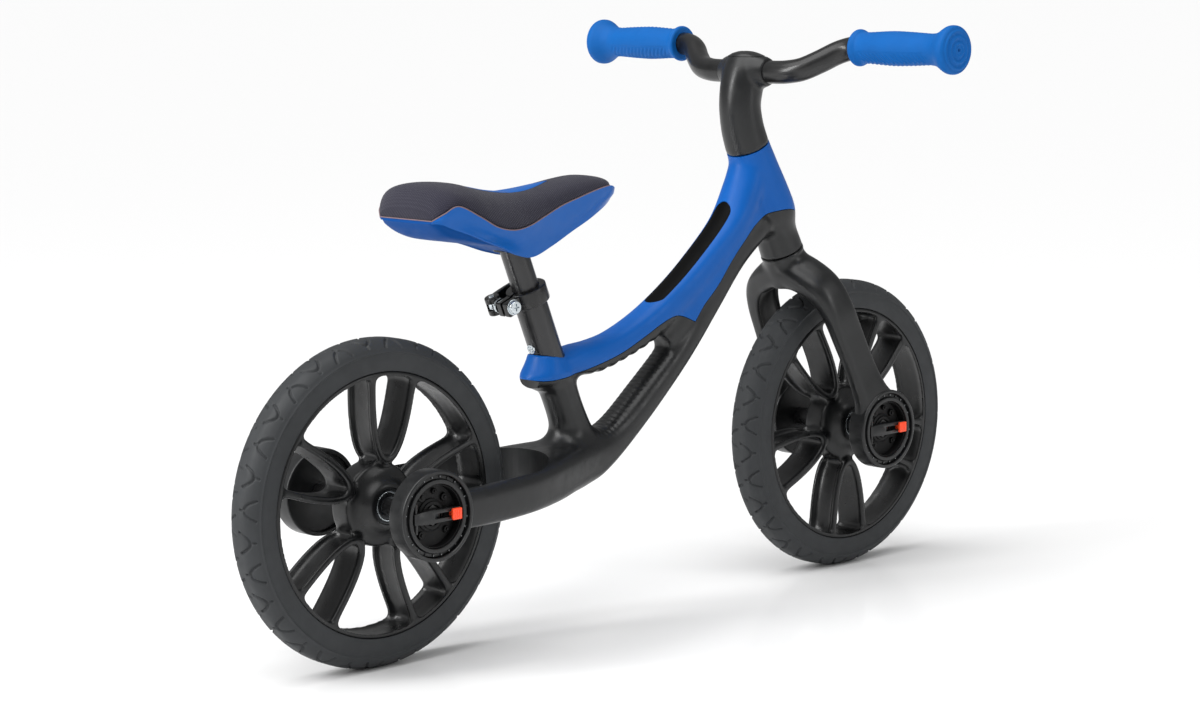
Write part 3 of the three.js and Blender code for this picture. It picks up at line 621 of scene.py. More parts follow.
WHEELS = (("rear", 0.0, 83.0, REAR_FACE), ("front", WHEELBASE, -90.0, FRONT_FACE))
for end, x, phase, face in WHEELS:
    body = f"{end}_wheel"
    finish(tyre(f"{end}_tyre_look", x), TYRE_FOAM, body, "tyre", f"{end}_tyre")
    finish(wheel(f"{end}_wheel_look", x, phase), WHEEL_NYLON, body, "nylon", f"{end}_wheel")
    for side, s in SIDES:
        piece = bearing(f"{end}_bearing_{side}_look", x, s)
        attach(piece, body)
        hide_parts(f"{end}_bearing_{side}")


# ---- housings and adapters ----
def housing(face):
    back = face - HOUSING_DEPTH
    prof = rounded([(0, back), (DISC_R, back), (DISC_R, face), (0, face)], 1.6, 5)
    return lathe("housing", prof, 128)


def housing_tools(face):
    recess = lathe("recess", [(0, face - 12), (RECESS_R, face - 12), (RECESS_R, face - 0.6),
                              (36.6, face + 0.4), (36.6, face + 9), (0, face + 9)], 128)
    back = lathe("back", [(0, face - 60), (RECESS_R, face - 60), (RECESS_R, face - 15), (0, face - 15)], 96)
    return recess, back, rod("hole", 5.3, face - 40, face + 20, edge=0)


def add_housings(obj, face, z):
    """Joins a housing to each side of a piece at height z, then hollows both out."""
    for _, s in SIDES:
        carve(obj, moved(mirror_y(housing(face), s), 0, 0, z), "UNION")
    for _, s in SIDES:
        for tool in housing_tools(face):
            carve(obj, moved(mirror_y(tool, s), 0, 0, z))


def adapter(tag, s, x, face, parent):
    """The quick-release insert in a housing: marked ring, cam, slotted lever and orange lock button."""
    def put(obj):
        return moved(mirror_y(obj, s), x, 0, TYRE_R)

    def ticks(half, low, high, inner, outer, places):
        """Small blocks set on the ring at the given places."""
        return [turned_about(block("tick", -half, half, face - low, face - high, inner, outer), "Y",
                             (k + 0.5) * 360 / TICKS) for k in places]

    base = face - 11.7
    ring = rounded([(31, base), (35.4, base), (35.4, face - 3.6), (32.2, face - 3.6), (31.6, face - 0.5),
                    (28.2, face - 0.5), (27.7, face - 2), (27.7, base), (31, base)], 0.5, 4)
    parts = [lathe("ring", ring, 112, closed=True), *ticks(0.55, 3.9, 2.7, 33.0, 35.0, range(TICKS))]
    ring = put(crisp(merged(f"adapter_ring_{tag}_look", parts)))
    finish(ring, NYLON, parent, "nylon", f"adapter_ring_{tag}")
    marks = ticks(0.35, 2.75, 2.55, 33.4, 34.6, [k for k in range(TICKS) if k % 4 != 1])
    finish(put(merged(f"adapter_marks_{tag}", marks)), TICK, parent, "steel")
    # Near-black liner with a stepped cam and posts on the floor of the recess. The cam and posts are
    # mechanism parts, but their colour, darker than the other black plastic, is painted shade for the deep
    # recess, and the liner is a dark sheet of painted shade.
    floor = face - 11.6
    cup = [(6, floor), (27.4, floor), (27.4, face - 2.6), (26.6, face - 2.6), (26.6, floor + 0.8),
           (6, floor + 0.8), (6, floor)]
    step = [(9, floor + 0.5), (14.5, floor + 0.5), (14.5, floor + 1.8), (12, floor + 2.4),
            (12, floor + 4.0), (9, floor + 4.0), (9, floor + 0.5)]
    cam = [lathe("cup", rounded(cup, 0.3, 3), 96, closed=True),
           lathe("cam", rounded(step, 0.4, 3), 72, closed=True)]
    for cx, cz, r in ((14, 14, 3.6), (-11, 17, 4.4), (3, 20.5, 2.6), (16, -14, 3.0), (-12, -16, 3.6)):
        cam.append(moved(rod("post", r, floor + 0.5, floor + 3.4, edge=0.8), cx, 0, cz))
        cam.append(moved(rod("pip", r * 0.45, floor + 3, floor + 4.6, edge=0.4), cx, 0, cz))
    finish(put(crisp(merged(f"adapter_cam_{tag}", cam))), RECESS, parent, "inlay")
    # Lever: a tapering bar with a slot along its outer half and a rounded tail.
    outline = [(-25.2, -4.6), (-12, -5.8), (25.6, -5.1), (25.6, 5.1), (-12, 5.8), (-25.2, 4.6)]
    lever = prism("lever", outline, face - 6.5, face - 1.5)
    slot = prism("slot", [(-2.5, -2.4), (23.4, -2.4), (23.4, 2.4), (-2.5, 2.4)], face - 20, face + 5)
    carve(lever, slot)
    carve(lever, moved(upright(rod("eye", 1.9, -30, 30, edge=0)), -22, face - 4, 0))
    bevel(lever, 0.55, 3)
    lever.name = f"lever_{tag}_look"
    finish(put(lever), NYLON, f"lever_{tag}", "nylon", f"lever_{tag}")
    top = bevel(block("button", 14.7, 24.9, face - 1.0, face + 2.1, -5.0, 5.0), 1.0, 4)
    groove = [bevel(block("grip", 16.4 + k * 2.4, 17.4 + k * 2.4, face + 1.6, face + 2.5, -3.6, 3.6), 0.3, 2)
              for k in range(3)]
    stem = block("stem", 16.6, 22.9, face - 6.0, face - 0.5, -2.1, 2.1)
    button = merged(f"lock_button_{tag}_look", [top, stem, *groove])
    finish(put(crisp(button, 50)), ORANGE, f"button_{tag}", "button", f"lock_button_{tag}")
    dress(nodes[f"lever_pin_{tag}"], SATIN_BLACK)


for end, x, phase, face in WHEELS:
    parent = "frame" if end == "rear" else "steering"
    for side, s in SIDES:
        adapter(f"{end}_{side}", s, x, face, parent)
        dress(nodes[f"{end}_spacer_{side}"], SATIN_BLACK)
        dress(nodes[f"{end}_axle_nut_{side}"], SATIN_BLACK)
    dress(nodes[f"{end}_axle"], DARK_STEEL)

# ---- frame ----
SIDE = (0, 1, 0)
HEAD = [(0, 0, HEAD_LOW, 21.3, 21.3, 2), (0, 0, 222, 20.8, 21.2, 2), (1, 0, 240, 24, 26, 2),
        (0.5, 0, 262, 23.5, 26, 2), (0, 0, 288, 22.4, 23.8, 2), (0, 0, HEAD_TOP, 21.4, 21.4, 2)]
UPPER = [(205, 0, 240, 15, 8, 2.4), (220, 0, 243, 18, 11.5, 2.4), (238, 0, 246, 18.5, 14, 2.6),
         (262, 0, 247, 17.5, 15.3, 2.8), (292, 0, 254, 17.2, 14.6, 2.8), (330, 0, 269, 17.2, 15.5, 2.8),
         (368, 0, 291.5, 17.6, 15.6, 2.6), (406, 0, 319.5, 18.6, 16.2, 2.4), (445, 0, 354.5, 20.4, 17, 2.2),
         (467, 0, 388, 21, 20, 2), (476, 0, 412, 19.5, 19.5, 2)]
DOWN = [(20, 0, 143, 80.5, 19.5, 6), (60, 0, 142, 78, 19.5, 6), (100, 0, 142.5, 73, 20, 6),
        (140, 0, 144, 66, 20.5, 5.5), (176, 0, 146.5, 55, 21, 5), (202, 0, 149, 45, 21, 4.5),
        (228, 0, 151, 34, 21, 4), (256, 0, 155, 24, 19.5, 3.6), (288.6, 0, 170, 19, 17, 2.6),
        (331, 0, 204, 18.5, 16, 2.4), (374.5, 0, 243.8, 17.6, 14.2, 2.6), (412, 0, 287, 16.4, 14.6, 3.2),
        (446, 0, 326, 18, 14.5, 2.8), (486, 0, 356, 19, 13, 2.4)]
MAST = [(0, 0, -112, 20, 21, 2), (0, 0, -98, 20, 21.5, 2), (0, 0, -76, 18.4, 18.8, 2),
        (0, 0, -54, 17.6, 17.4, 2), (0, 0, -36, 17.8, 17.8, 2), (0, 0, -18, 18.4, 18.4, 2)]
SKIRT = [(211, 0, 225, 15.5, 16, 2), (209.5, 0, 230.5, 17.6, 19.5, 2), (208, 0, 234.5, 20.4, 24.8, 2),
         (207, 0, 237.8, 21.6, 28.2, 2), (206.6, 0, 243.5, 20.3, 22.6, 2), (206.8, 0, 249.5, 18.2, 18.8, 2),
         (207.5, 0, 254.5, 17.3, 17.6, 2)]
SEAM_LOW = [(150, 236), (172, 235), (193, 233), (226, 236), (247, 239.5), (284, 248.5), (315, 261),
            (338, 271.5), (355, 277), (369, 276), (385, 269.5)]
SEAM_FRONT = [(385, 269.5), (397, 284.2), (416, 302), (434.5, 325), (452, 343.5), (465, 356), (480, 365),
              (500, 369), (518, 367.5), (560, 357)]
LUG = [(222, 0, 139, 11, 9, 3), (238, 0, 134.5, 11, 9, 3), (254, 0, 139, 10, 9, 3)]
WEB = [(354, 0, 252, 13, 6, 3), (368, 0, 264, 15, 13, 3), (392, 0, 284, 16, 16, 3),
       (420, 0, 311, 16.8, 20, 3), (450, 0, 342, 18.4, 22, 2.8), (474, 0, 370, 19, 20, 2.4)]

RIB_PITCH, RIB_DEPTH = 5.7, 0.55
SCALLOP_PITCH, SCALLOP_DEPTH = 13.5, 1.8
STRIP_HALF, STRIP_REACH = 11.0, 57.0


def outside_shell(name, voxel=1.5):
    tall = [(0, 0, HEAD_LOW - 8, *HEAD[0][3:])] + HEAD + [(0, 0, HEAD_TOP + 8, *HEAD[-1][3:])]
    lower = [limb("down", DOWN, SIDE, 120, 120), seated(limb("mast", MAST, SIDE, 40, 80))]
    upper = [fillet(merged("lower", lower), 12, voxel, smooth=2), steered(limb("head", tall, SIDE, 50, 96)),
             limb("upper", UPPER, SIDE, 90, 96), limb("web", WEB, SIDE, 40, 96),
             limb("skirt", SKIRT, SIDE, 40, 96), limb("lug", LUG, SIDE, 24, 40)]
    shell = fillet(merged(name, upper), 5, voxel, smooth=9)
    for lo, hi in ((HEAD_LOW - 40, HEAD_LOW), (HEAD_TOP, HEAD_TOP + 40)):
        carve(shell, steered(block("end", -30, 30, -40, 40, lo, hi)))
    return shell


def seam_tool(name, drop):
    """Everything above the line where the cover meets the body."""
    low = curve([(a, b - drop) for a, b in SEAM_LOW], np.linspace(0, 1, 90))
    front = curve([(a, b - drop) for a, b in SEAM_FRONT], np.linspace(0, 1, 60))[1:]
    outline = [tuple(p) for p in np.vstack([low, front])] + [(600, 520), (150, 520)]
    return prism(name, outline, -70, 70)


def tyre_opening():
    outline = [(-50, -70), (60, -67), *arc(126, 0, 61, -88, 88, 40), (60, 67), (-50, 70)]
    return prism("opening", outline, 60, 240, axis="z")


def along_spine(points, stations):
    """Nearest place on a spine in the centre plane: distance run, and offset towards the upper side."""
    ts = np.linspace(0, 1, 500)
    spine = curve([s[:3] for s in stations], ts)[:, [0, 2]]
    run = run_along(spine)
    d = unit(np.gradient(spine, axis=0))
    up = np.column_stack([-d[:, 1], d[:, 0]])
    best = np.empty(len(points), int)
    for start in range(0, len(points), 20000):
        part = points[start:start + 20000][:, [0, 2]]
        best[start:start + 20000] = ((part[:, None, :] - spine[None]) ** 2).sum(-1).argmin(1)
    offset = ((points[:, [0, 2]] - spine[best]) * up[best]).sum(1)
    return run[best], offset, up[best]


def bounded(values, low, high, ramp):
    """One between low and high, fading to nothing outside over the length of the ramp."""
    return np.clip((values - low) / ramp, 0, 1) * np.clip((high - values) / ramp, 0, 1)


def shifted(pts, stations, box, change):
    """Moves the points in a box of (x, x, z, z, half-width) along a spine's upper normal."""
    x0, x1, z0, z1, half = box
    x, y, z = pts.T
    near = (x > x0) & (x < x1) & (z > z0) & (z < z1) & (np.abs(y) < half)
    run, offset, up = along_spine(pts[near], stations)
    shift = change(pts[near][:, 0], run, offset)[:, None] * up
    inside = pts[near]
    inside[:, [0, 2]] += shift
    pts[near] = inside


def cross_ribs(x, run, offset):
    """Fine grooves on top of the down tube."""
    groove = (0.5 - 0.5 * np.cos(2 * np.pi * run / RIB_PITCH)) ** 3
    top = np.clip((offset - 5) / 9, 0, 1) * np.clip((24 - offset) / 3, 0, 1)
    return -RIB_DEPTH * groove * top * bounded(x, 232, 368, 14)


def scallops(x, run, offset):
    """Shallow arches along the underside of the upper tube."""
    arch = np.abs(np.sin(np.pi * run / SCALLOP_PITCH))
    low = np.clip((-offset - 7) / 5, 0, 1) * np.clip((offset + 24) / 3, 0, 1)
    return SCALLOP_DEPTH * (1 - arch) * low * bounded(x, 250, 350, 10)


def window_ribs(obj):
    pts = coords(obj)
    shifted(pts, DOWN, (226, 375, 150, 275, 30), cross_ribs)
    shifted(pts, UPPER, (246, 352, 215, 275, 24), scallops)
    set_coords(obj, pts)


outside = outside_shell("outside")
cover = copy_of(outside, "frame_cover_look")
carve(cover, seam_tool("seam", 0.0), "INTERSECT")
seat_hole = seated(upright(rod("seat_hole", 15.3, -70, 60, segments=96, edge=0)))
carve(cover, seat_hole, keep=True)

window_ribs(outside)
carve(outside, seam_tool("seam", 0.7))
carve(outside, tyre_opening())
add_housings(outside, REAR_FACE, TYRE_R)
carve(outside, seat_hole)
crisp(outside, 38)
outside.name = "frame_body_look"
finish(outside, NYLON, "frame", "nylon", "frame_body")


# ---- cover and its dark strip ----
def strip_tool(half):
    outline = [*arc(-STRIP_REACH, 0, half, 90, 270, 24), *arc(STRIP_REACH, 0, half, -90, 90, 24)]
    return leaned(prism("strip", outline, -14, 40, axis="z"), math.radians(43), 393, 331)


def strip_layer(name, half, top, bottom):
    """The part of the upper tube under the strip's outline, between two depths below the skin."""
    layer = limb(name, UPPER, SIDE, 90, 96, top)
    carve(layer, strip_tool(half), "INTERSECT")
    return carve(layer, limb("core", UPPER, SIDE, 90, 96, bottom))


carve(cover, strip_layer("pocket", STRIP_HALF + 0.4, -3.0, 1.1))
finish(crisp(cover, 38), BLUE, "frame", "cover", "frame_cover")
strip = strip_layer("cover_strip_look", STRIP_HALF, 0.45, 1.3)
finish(crisp(strip, 38), STRIP_BLACK, "frame", "inlay", "cover_strip")


# ---- fork ----
ARM = [(0, 0, 180, 21, 18, 2.4), (0, 21, 173, 20.5, 14.8, 2.6), (0, 40, 159.5, 19.4, 12, 3),
       (0, 49.4, 137, 18, 9.6, 3.6), (0, 52.5, 105, 17.4, 8.4, 4), (0, 55.5, 68, 17.4, 8, 4),
       (0, 58, 42, 20, 8.6, 4), (0, 58.8, 22, 29, 9.5, 3.4), (0, 58.8, 2, 37, 9.5, 3)]
POCKET = [(0, 29, 156, 15, 5, 3), (0, 40, 140, 14.6, 5.6, 3.2), (0, 45, 105, 13.8, 4.9, 3.4),
          (0, 48.6, 68, 13.8, 4.6, 3.4), (0, 50.5, 48, 14.5, 3.6, 3)]
NECK = [(0, 0, HEAD_LOW - 0.5, 21.3, 21.3, 2), (0, 0, 191, 21, 21, 2), (0, 0, 180, 22.6, 21.4, 2.1),
        (0, 0, 166, 24, 20, 2.2)]


def across(stations, s):
    return [(a, s * b, c, *rest) for a, b, c, *rest in stations]


fork = merged("fork_look", [limb("neck", NECK, SIDE, 20, 80)]
              + [limb("arm", across(ARM, s), (1, 0, 0), 80, 72) for _, s in SIDES])
fillet(fork, 7, 1.3, smooth=3)
for _, s in SIDES:
    carve(fork, limb("pocket", across(POCKET, s), (1, 0, 0), 50, 48))
melt(fork, 1.1, smooth=3)
add_housings(fork, FRONT_FACE, 0)
crisp(steered(fork), 38)
finish(fork, NYLON, "steering", "nylon", "fork")

# ---- stem, bar and grips ----
STEM = [(0, 0, HEAD_TOP + 0.6, 21.3, 21.3, 2), (0, 0, HEAD_TOP + 6, 21.2, 21.2, 2),
        (1.5, 0, 336, 20.6, 20.8, 2), (7, 0, 355, 20.2, 20.3, 2), (17, 0, 371, 20.5, 20.6, 2.1),
        (28, 0, 383, 20.8, 20.4, 2.2), (36, 0, 393, 17, 16, 2.2), (39, 0, 397, 9, 8, 2.2)]
BOSS = [(0, -28, 13), (-1, -20, 16), (-2, -10, 19), (-2, 0, 20), (-2, 10, 19), (-1, 20, 16), (0, 28, 13)]
boss = limb("boss", [(BAR_X + dx, y, BAR_Z, r, r, 2) for dx, y, r in BOSS], (1, 0, 0), 40, 64)
stem = merged("stem_look", [steered(limb("neck", STEM, SIDE, 60, 80)), boss])
melt(stem, 1.2, smooth=10)
cap = copy_of(stem, "stem_cap_look")
carve(cap, block("above", 400, 560, -50, 50, BAR_Z + 14.9, 600), "INTERSECT")
carve(stem, block("above", 400, 560, -50, 50, BAR_Z + 14.4, 600))
for part, node in ((stem, "stem"), (cap, "stem_cap")):
    finish(crisp(part, 38), NYLON, "steering", "nylon", node)

BAR = [(BAR_X, 18, BAR_Z), (BAR_X, 34, BAR_Z), (BAR_X + 1, 50, BAR_Z + 0.6), (BAR_X + 5.5, 66, BAR_Z + 3.4),
       (BAR_X + 14, 81, BAR_Z + 10.6), (BAR_X + 23, 94, BAR_Z + 18.4), (GRIP_X - 1, 106, GRIP_Z - 1.4),
       (GRIP_X, 119, GRIP_Z), (GRIP_X, 150, GRIP_Z), (GRIP_X, 224, GRIP_Z)]
bar_spine = [(a, -b, c, 11.1, 11.1, 2) for a, b, c in BAR[::-1]] + [(BAR_X, 0, BAR_Z, 11.1, 11.1, 2)]
bar_spine += [(a, b, c, 11.1, 11.1, 2) for a, b, c in BAR]
finish(limb("handlebar_look", bar_spine, (1, 0, 0), 260, 48), BAR_PAINT, "steering", "bar", "handlebar")


def grip(name, s):
    """A soft grip: flanges at both ends, ribs under the fingers and rings on the domed end."""
    inner = [(11.7, 0), (15.6, 0), (17.2, 1.2), (17.4, 3.2), (16.4, 5.6), (15.0, 8.5), (14.9, 16),
             (15.9, 34), (16.3, 48), (15.7, 68), (14.8, 86)]
    outer = [(14.7, -24), (15.3, -18), (17.4, -12), (20.2, -7), (22.2, -3), (22.6, 0), (22.2, 2.6),
             (20.6, 4.4)]
    prof = [(r, GRIP_IN + y) for r, y in inner] + [(r, GRIP_OUT + y) for r, y in outer]
    body = curve(prof, np.linspace(0, 1, 420))
    rings = []
    for r in np.linspace(20.4, 0, 80):
        dome = GRIP_OUT + 4.5 + 3.1 * (1 - (r / 20.4) ** 2) ** 0.5
        ridge = 0.7 * math.cos(r / 20.4 * 2 * math.pi * 3.5) if 4 < r < 19.5 else 0.0
        pit = -3.2 if r < 1.7 else 0.0
        rings.append((r, dome + ridge - 0.4 + pit))
    prof = np.vstack([body, rings])
    steps = 144
    angle = full_turn(steps)
    r = np.repeat(prof[:, :1], steps, axis=1)
    y = np.repeat(prof[:, 1:], steps, axis=1)
    on = np.clip((y - GRIP_IN - 10) / 4, 0, 1) * np.clip((GRIP_OUT - 22 - y) / 4, 0, 1) * (r > 12)
    # Slanted ribs form leaf-like panels on the four quarters of the grip.
    leaf = np.cos(2 * (angle[None, :] - 0.6))
    panel = np.clip((leaf - 0.15) / 0.25, 0, 1)
    slant = y + np.abs(((angle[None, :] / np.pi * 2 + 0.12) % 1) - 0.5) * 16
    r = r - on * panel * 0.8 * (0.5 - 0.5 * np.cos(2 * np.pi * slant / 5.2)) ** 1.5
    groove = np.exp(-(((leaf - 0.12) / 0.06) ** 2))
    r = r - on * 0.5 * groove
    rings = np.stack([GRIP_X + r * np.sin(angle), y, GRIP_Z + r * np.cos(angle)], -1)
    return mirror_y(skin(name, rings), s)


for side, s in SIDES:
    finish(grip(f"grip_{side}_look", s), GRIP_BLUE, "steering", "grip", f"grip_{side}")

dress(nodes["steerer_tube"], PAINT)
for name in ("head_bearing_lower", "head_bearing_upper"):
    dress(nodes[name], STEEL)

# ---- seat tube, post and clamp ----
TUBE_TOP = 67.0
CLAMP_LOW, CLAMP_TOP, CLAMP_R = TUBE_TOP - 14, TUBE_TOP + 1.5, 18.8
BOLT_X, BOLT_Z = -26.5, CLAMP_LOW + 9
EAR_HALF, CAM_Y, CAM_R, CAM_HALF = 8.0, 17.8, 7.0, 8.5


def stood(obj, dx=0.0, dy=0.0):
    return moved(upright(obj), dx, dy, 0)


finish(seated(stood(tube("seat_tube_look", 12.8, 15.0, -60, TUBE_TOP, segments=96, edge=0.7))),
       PAINT, "frame", "tube", "seat_tube")
finish(seated(stood(tube("seat_post_look", 10.5, 12.5, -42, 112, segments=96, edge=0.6))),
       PAINT, "seat", "tube", "seat_post")

clamp = stood(rod("clamp", CLAMP_R, CLAMP_LOW, CLAMP_TOP, segments=96, edge=1.2))
ears = bevel(block("ears", -32.5, -10, -EAR_HALF, EAR_HALF, CLAMP_LOW + 1, CLAMP_TOP - 1), 1.6, 4)
carve(clamp, ears, "UNION")
carve(clamp, stood(rod("bore", 15.6, CLAMP_LOW - 5, CLAMP_TOP - 1.4, segments=96, edge=0)))
carve(clamp, stood(rod("mouth", 13.0, CLAMP_LOW - 5, CLAMP_TOP + 5, segments=96, edge=0)))
carve(clamp, block("slit", -60, 0, -1.6, 1.6, CLAMP_LOW - 5, CLAMP_TOP + 5))
carve(clamp, moved(rod("hole", 3.4, -40, 40, edge=0), BOLT_X, 0, BOLT_Z))
clamp.name = "seat_clamp_look"
finish(crisp(seated(clamp)), SATIN_BLACK, "frame", "inlay", "seat_clamp")

head = lathe("head", rounded([(0, -12.6), (5.6, -12.6), (6.4, -11.6), (6.4, -8.3), (0, -8.3)], 0.4, 4), 48)
for spin in (0, 90):
    cross = turned_about(block("cross", -0.75, 0.75, -14, -10.6, -3.4, 3.4), "Y", spin + 20)
    carve(head, cross)
washer = rod("washer", 7.2, -9.1, -8.25, edge=0.2)
shank = rod("shank", 3.0, -9, 14, edge=0.3)
bolt = merged("clamp_bolt_look", [moved(part, BOLT_X, 0, BOLT_Z) for part in (head, washer, shank)]
              + [stood(rod("eye", 5.0, BOLT_Z - 3, BOLT_Z + 3, edge=0.4), BOLT_X, CAM_Y)])
finish(crisp(seated(bolt)), STEEL, "frame", "steel", "clamp_bolt")

cam = stood(rod("cam", CAM_R, BOLT_Z - CAM_HALF, BOLT_Z + CAM_HALF, edge=1.0), BOLT_X, CAM_Y)
arm_line = [(BOLT_X, CAM_Y + 2), (BOLT_X, CAM_Y + CAM_R - 0.2), (-16, 26.3), (-6, 26.5), (4, 26), (12, 25),
            (18.5, 22.4), (23, 19.5), (20.5, 17.5), (15.5, 19.8), (11, 21.5), (3, 22.4), (-3, 22.6),
            (BOLT_X + 9, CAM_Y + 2.5)]
arm_bar = bevel(prism("arm", arm_line, BOLT_Z - 7, BOLT_Z + 7, axis="z"), 1.1, 3, 50)
carve(cam, arm_bar, "UNION")
carve(cam, block("gap", BOLT_X - 8, BOLT_X + 8, CAM_Y - 12, CAM_Y + 5.4, BOLT_Z - 3.5, BOLT_Z + 3.5))
cam.name = "clamp_lever_look"
finish(crisp(seated(cam)), SATIN_BLACK, "clamp_lever", "inlay", "clamp_lever")
PIN_HALF = CAM_HALF + 0.9
pin = stood(rod("clamp_pin_look", 2.9, BOLT_Z - PIN_HALF, BOLT_Z + PIN_HALF, edge=0.5), BOLT_X, CAM_Y)
finish(seated(pin), STEEL, "clamp_lever", "steel", "clamp_pin")
dress(nodes["clamp_washer"], STEEL)

profile = [(0, 14.6), (4.6, 14.6), (4.6, 16.3), (3.7, 16.6), (3.5, 15.8), (2.9, 15.8), (2.7, 16.9),
           (1.5, 17.2), (1.3, 16.2), (0, 16.2)]
screw = lathe("screw", rounded(profile, 0.25, 3), 48)
screw = turned_about(screw, "Z", 90)
moved(screw, 0, 0, 12.5)
screw.name = "seat_tube_screw_look"
finish(crisp(seated(screw)), STEEL, "frame", "steel", "seat_tube_screw")

# ---- saddle ----
# x, half-width and height of the fabric's edge, crown height, then the shell's crease (half-width and
# height) and the height of its belly.
SADDLE = np.array([
    [43, 35, 389.5, 400, 33.5, 387.6, 386.6], [50, 44, 396, 415, 40, 387, 379],
    [62, 49.5, 402, 421, 39.5, 382.5, 371], [84, 51.5, 392, 421, 37, 375.5, 367],
    [107, 49, 381, 415.5, 33, 367.2, 363.5],
    [130, 44.5, 376.5, 410.5, 27, 359.8, 360], [153, 38.5, 378, 408.5, 20.5, 351.6, 353],
    [176, 33.5, 384.5, 409.5, 17, 348, 347.4], [200, 30, 392.5, 412.5, 17, 356.5, 355],
    [224, 28, 398.5, 416, 16.5, 367.2, 365.7], [248, 26, 404, 418, 15, 377, 375.5],
    [268, 22.5, 406.5, 415, 12, 386, 384.5], [280, 15.5, 403.5, 408.5, 7.5, 391.5, 390.5],
    [286.5, 7, 399.5, 401.5, 3.5, 395.5, 394.5]])
FABRIC_END, NOSE, PAD_LIFT = 275.0, 10.0, 0.2
CLOTH_FRAMES = 20


def saddle_at(ts):
    """The saddle's sizes along its length."""
    return curve(SADDLE, ts)


def cushion_rings(steps, arc_steps, bottom_steps, inset):
    ts = np.linspace(0.0, 1.0, 400)
    table = saddle_at(ts)
    xs = np.concatenate([[43.0, 43.6, 45], np.linspace(47.5, FABRIC_END - NOSE, steps),
                         FABRIC_END - NOSE + NOSE * np.sin(np.linspace(0.25, 1, 6) * math.pi / 2)])
    rings = []
    for x in xs:
        half, edge, crown = (np.interp(x, table[:, 0], table[:, k]) for k in (1, 2, 3))
        close = math.sqrt(max(0.0, 1 - max(0.0, (x - FABRIC_END + NOSE) / NOSE) ** 2))
        close = max(close, 0.12)
        angle = np.linspace(0, np.pi, arc_steps)
        rise = (crown - edge - inset) * (0.25 + 0.75 * close)
        y = half * close * np.sign(np.cos(angle)) * np.abs(np.cos(angle)) ** 0.78
        z = edge + PAD_LIFT + rise * np.sin(angle) ** 0.8
        under = np.linspace(-half * close, half * close, bottom_steps + 2)[1:-1]
        ring = [(x, a, b) for a, b in zip(y, z)] + [(x, a, edge + PAD_LIFT) for a in under]
        rings.append(ring)
    return rings


def simulate(obj, held, cap):
    """Swells a pad by cloth simulation under air pressure, with the given points held."""
    before = coords(obj)
    group = obj.vertex_groups.new(name="held")
    group.add(held, 1.0, "REPLACE")
    cloth = obj.modifiers.new("cloth", "CLOTH")
    cloth.settings.use_pressure = True
    cloth.settings.uniform_pressure_force = 4.0
    cloth.settings.effector_weights.gravity = 0.0
    cloth.settings.vertex_group_mass = "held"
    cloth.settings.mass = 0.3
    cloth.settings.tension_stiffness = 25
    cloth.settings.bending_stiffness = 4
    scene = bpy.context.scene
    scene.frame_start, scene.frame_end = 1, CLOTH_FRAMES
    cloth.point_cache.frame_start, cloth.point_cache.frame_end = 1, CLOTH_FRAMES
    for step in range(1, CLOTH_FRAMES + 1):
        scene.frame_set(step)
    settle(obj)
    after = coords(obj)
    scene.frame_set(1)
    move = after - before
    length = np.linalg.norm(move, axis=1)[:, None]
    set_coords(obj, before + move * np.minimum(1, cap / np.maximum(length, 1e-9)))


ARC_STEPS, BOTTOM_STEPS = 36, 12
rings = cushion_rings(52, ARC_STEPS, BOTTOM_STEPS, 2.0)
cushion = skin("seat_cushion_look", rings)
around = ARC_STEPS + BOTTOM_STEPS
held = [k for k in range(len(rings) * around)
        if not 1 <= k % around < ARC_STEPS - 1 or k < around or k >= (len(rings) - 1) * around]
simulate(cushion, held, 5.0)
fine = cushion.modifiers.new("fine", "SUBSURF")
fine.levels = fine.render_levels = 1
settle(cushion)
cushion.data.shade_smooth()
finish(cushion, FABRIC, "seat", "fabric", "seat_cushion")


def shell_rings(steps, count, grow=0.0, lo=0.0, hi=1.0):
    """Sections of the shell: a bowl-shaped belly and, outside its crease, a side panel up to the fabric."""
    rings = []
    for x, half, edge, _, crease, crease_z, belly in saddle_at(np.linspace(lo, hi, steps)):
        drop = crease_z - belly
        right = [(0, belly), (0.5 * crease, belly + 0.05 * drop), (0.86 * crease, belly + 0.34 * drop),
                 (crease - 1.4, belly + 0.84 * drop), (crease + 0.2, crease_z - 0.5),
                 (crease + 1.5, crease_z + 1.3),
                 (crease + (half - crease) * 0.6 + 1.2, crease_z + (edge - crease_z) * 0.5), (half, edge)]
        path = curve(right, np.linspace(0, 1, count))
        if grow:
            d = unit(np.gradient(path, axis=0))
            path = path + grow * np.column_stack([d[:, 1], -d[:, 0]])
            path[0, 0] = 0
            path[-1] = (half + grow, edge + 6)
            path[:, 0] = np.maximum(path[:, 0], 0)
        rings.append([(x, a, b) for a, b in path] + [(x, -a, b) for a, b in path[::-1][:-1]])
    return rings


shell = skin("seat_shell_look", shell_rings(140, 44))
carve(shell, skin("hollow", shell_rings(100, 30, -2.6, 0.09, 0.88)))
boss = seated(stood(rod("boss", 17.5, 92, 111.5, segments=72, edge=0.6)))
carve(boss, skin("envelope", shell_rings(80, 30, -0.2)), "INTERSECT")
carve(shell, boss, "UNION")
carve(shell, seated(stood(rod("post_hole", 13.1, 60, 140, segments=72, edge=0))))
crisp(shell, 40)
finish(shell, SEAT_BLUE, "seat", "shell", "seat_shell")
# Belly faces below the crease take the darker blue: painted shade on the underside of the saddle.
shell.data.materials.append(BELLY_SHADE_BLUE)
sizes = saddle_at(np.linspace(0, 1, 400))
for face in shell.data.polygons:
    x, y, z = face.center[0] * 1000 + WHEELBASE / 2, face.center[1] * 1000, face.center[2] * 1000
    crease, crease_z = (np.interp(x, sizes[:, 0], sizes[:, k]) for k in (4, 5))
    if abs(y) < crease + 0.2 and z < crease_z + 1.5:
        face.material_index = 1
for name in ("seat_plate", "seat_screw_right", "seat_screw_left"):
    dress(nodes[name], DARK_STEEL)


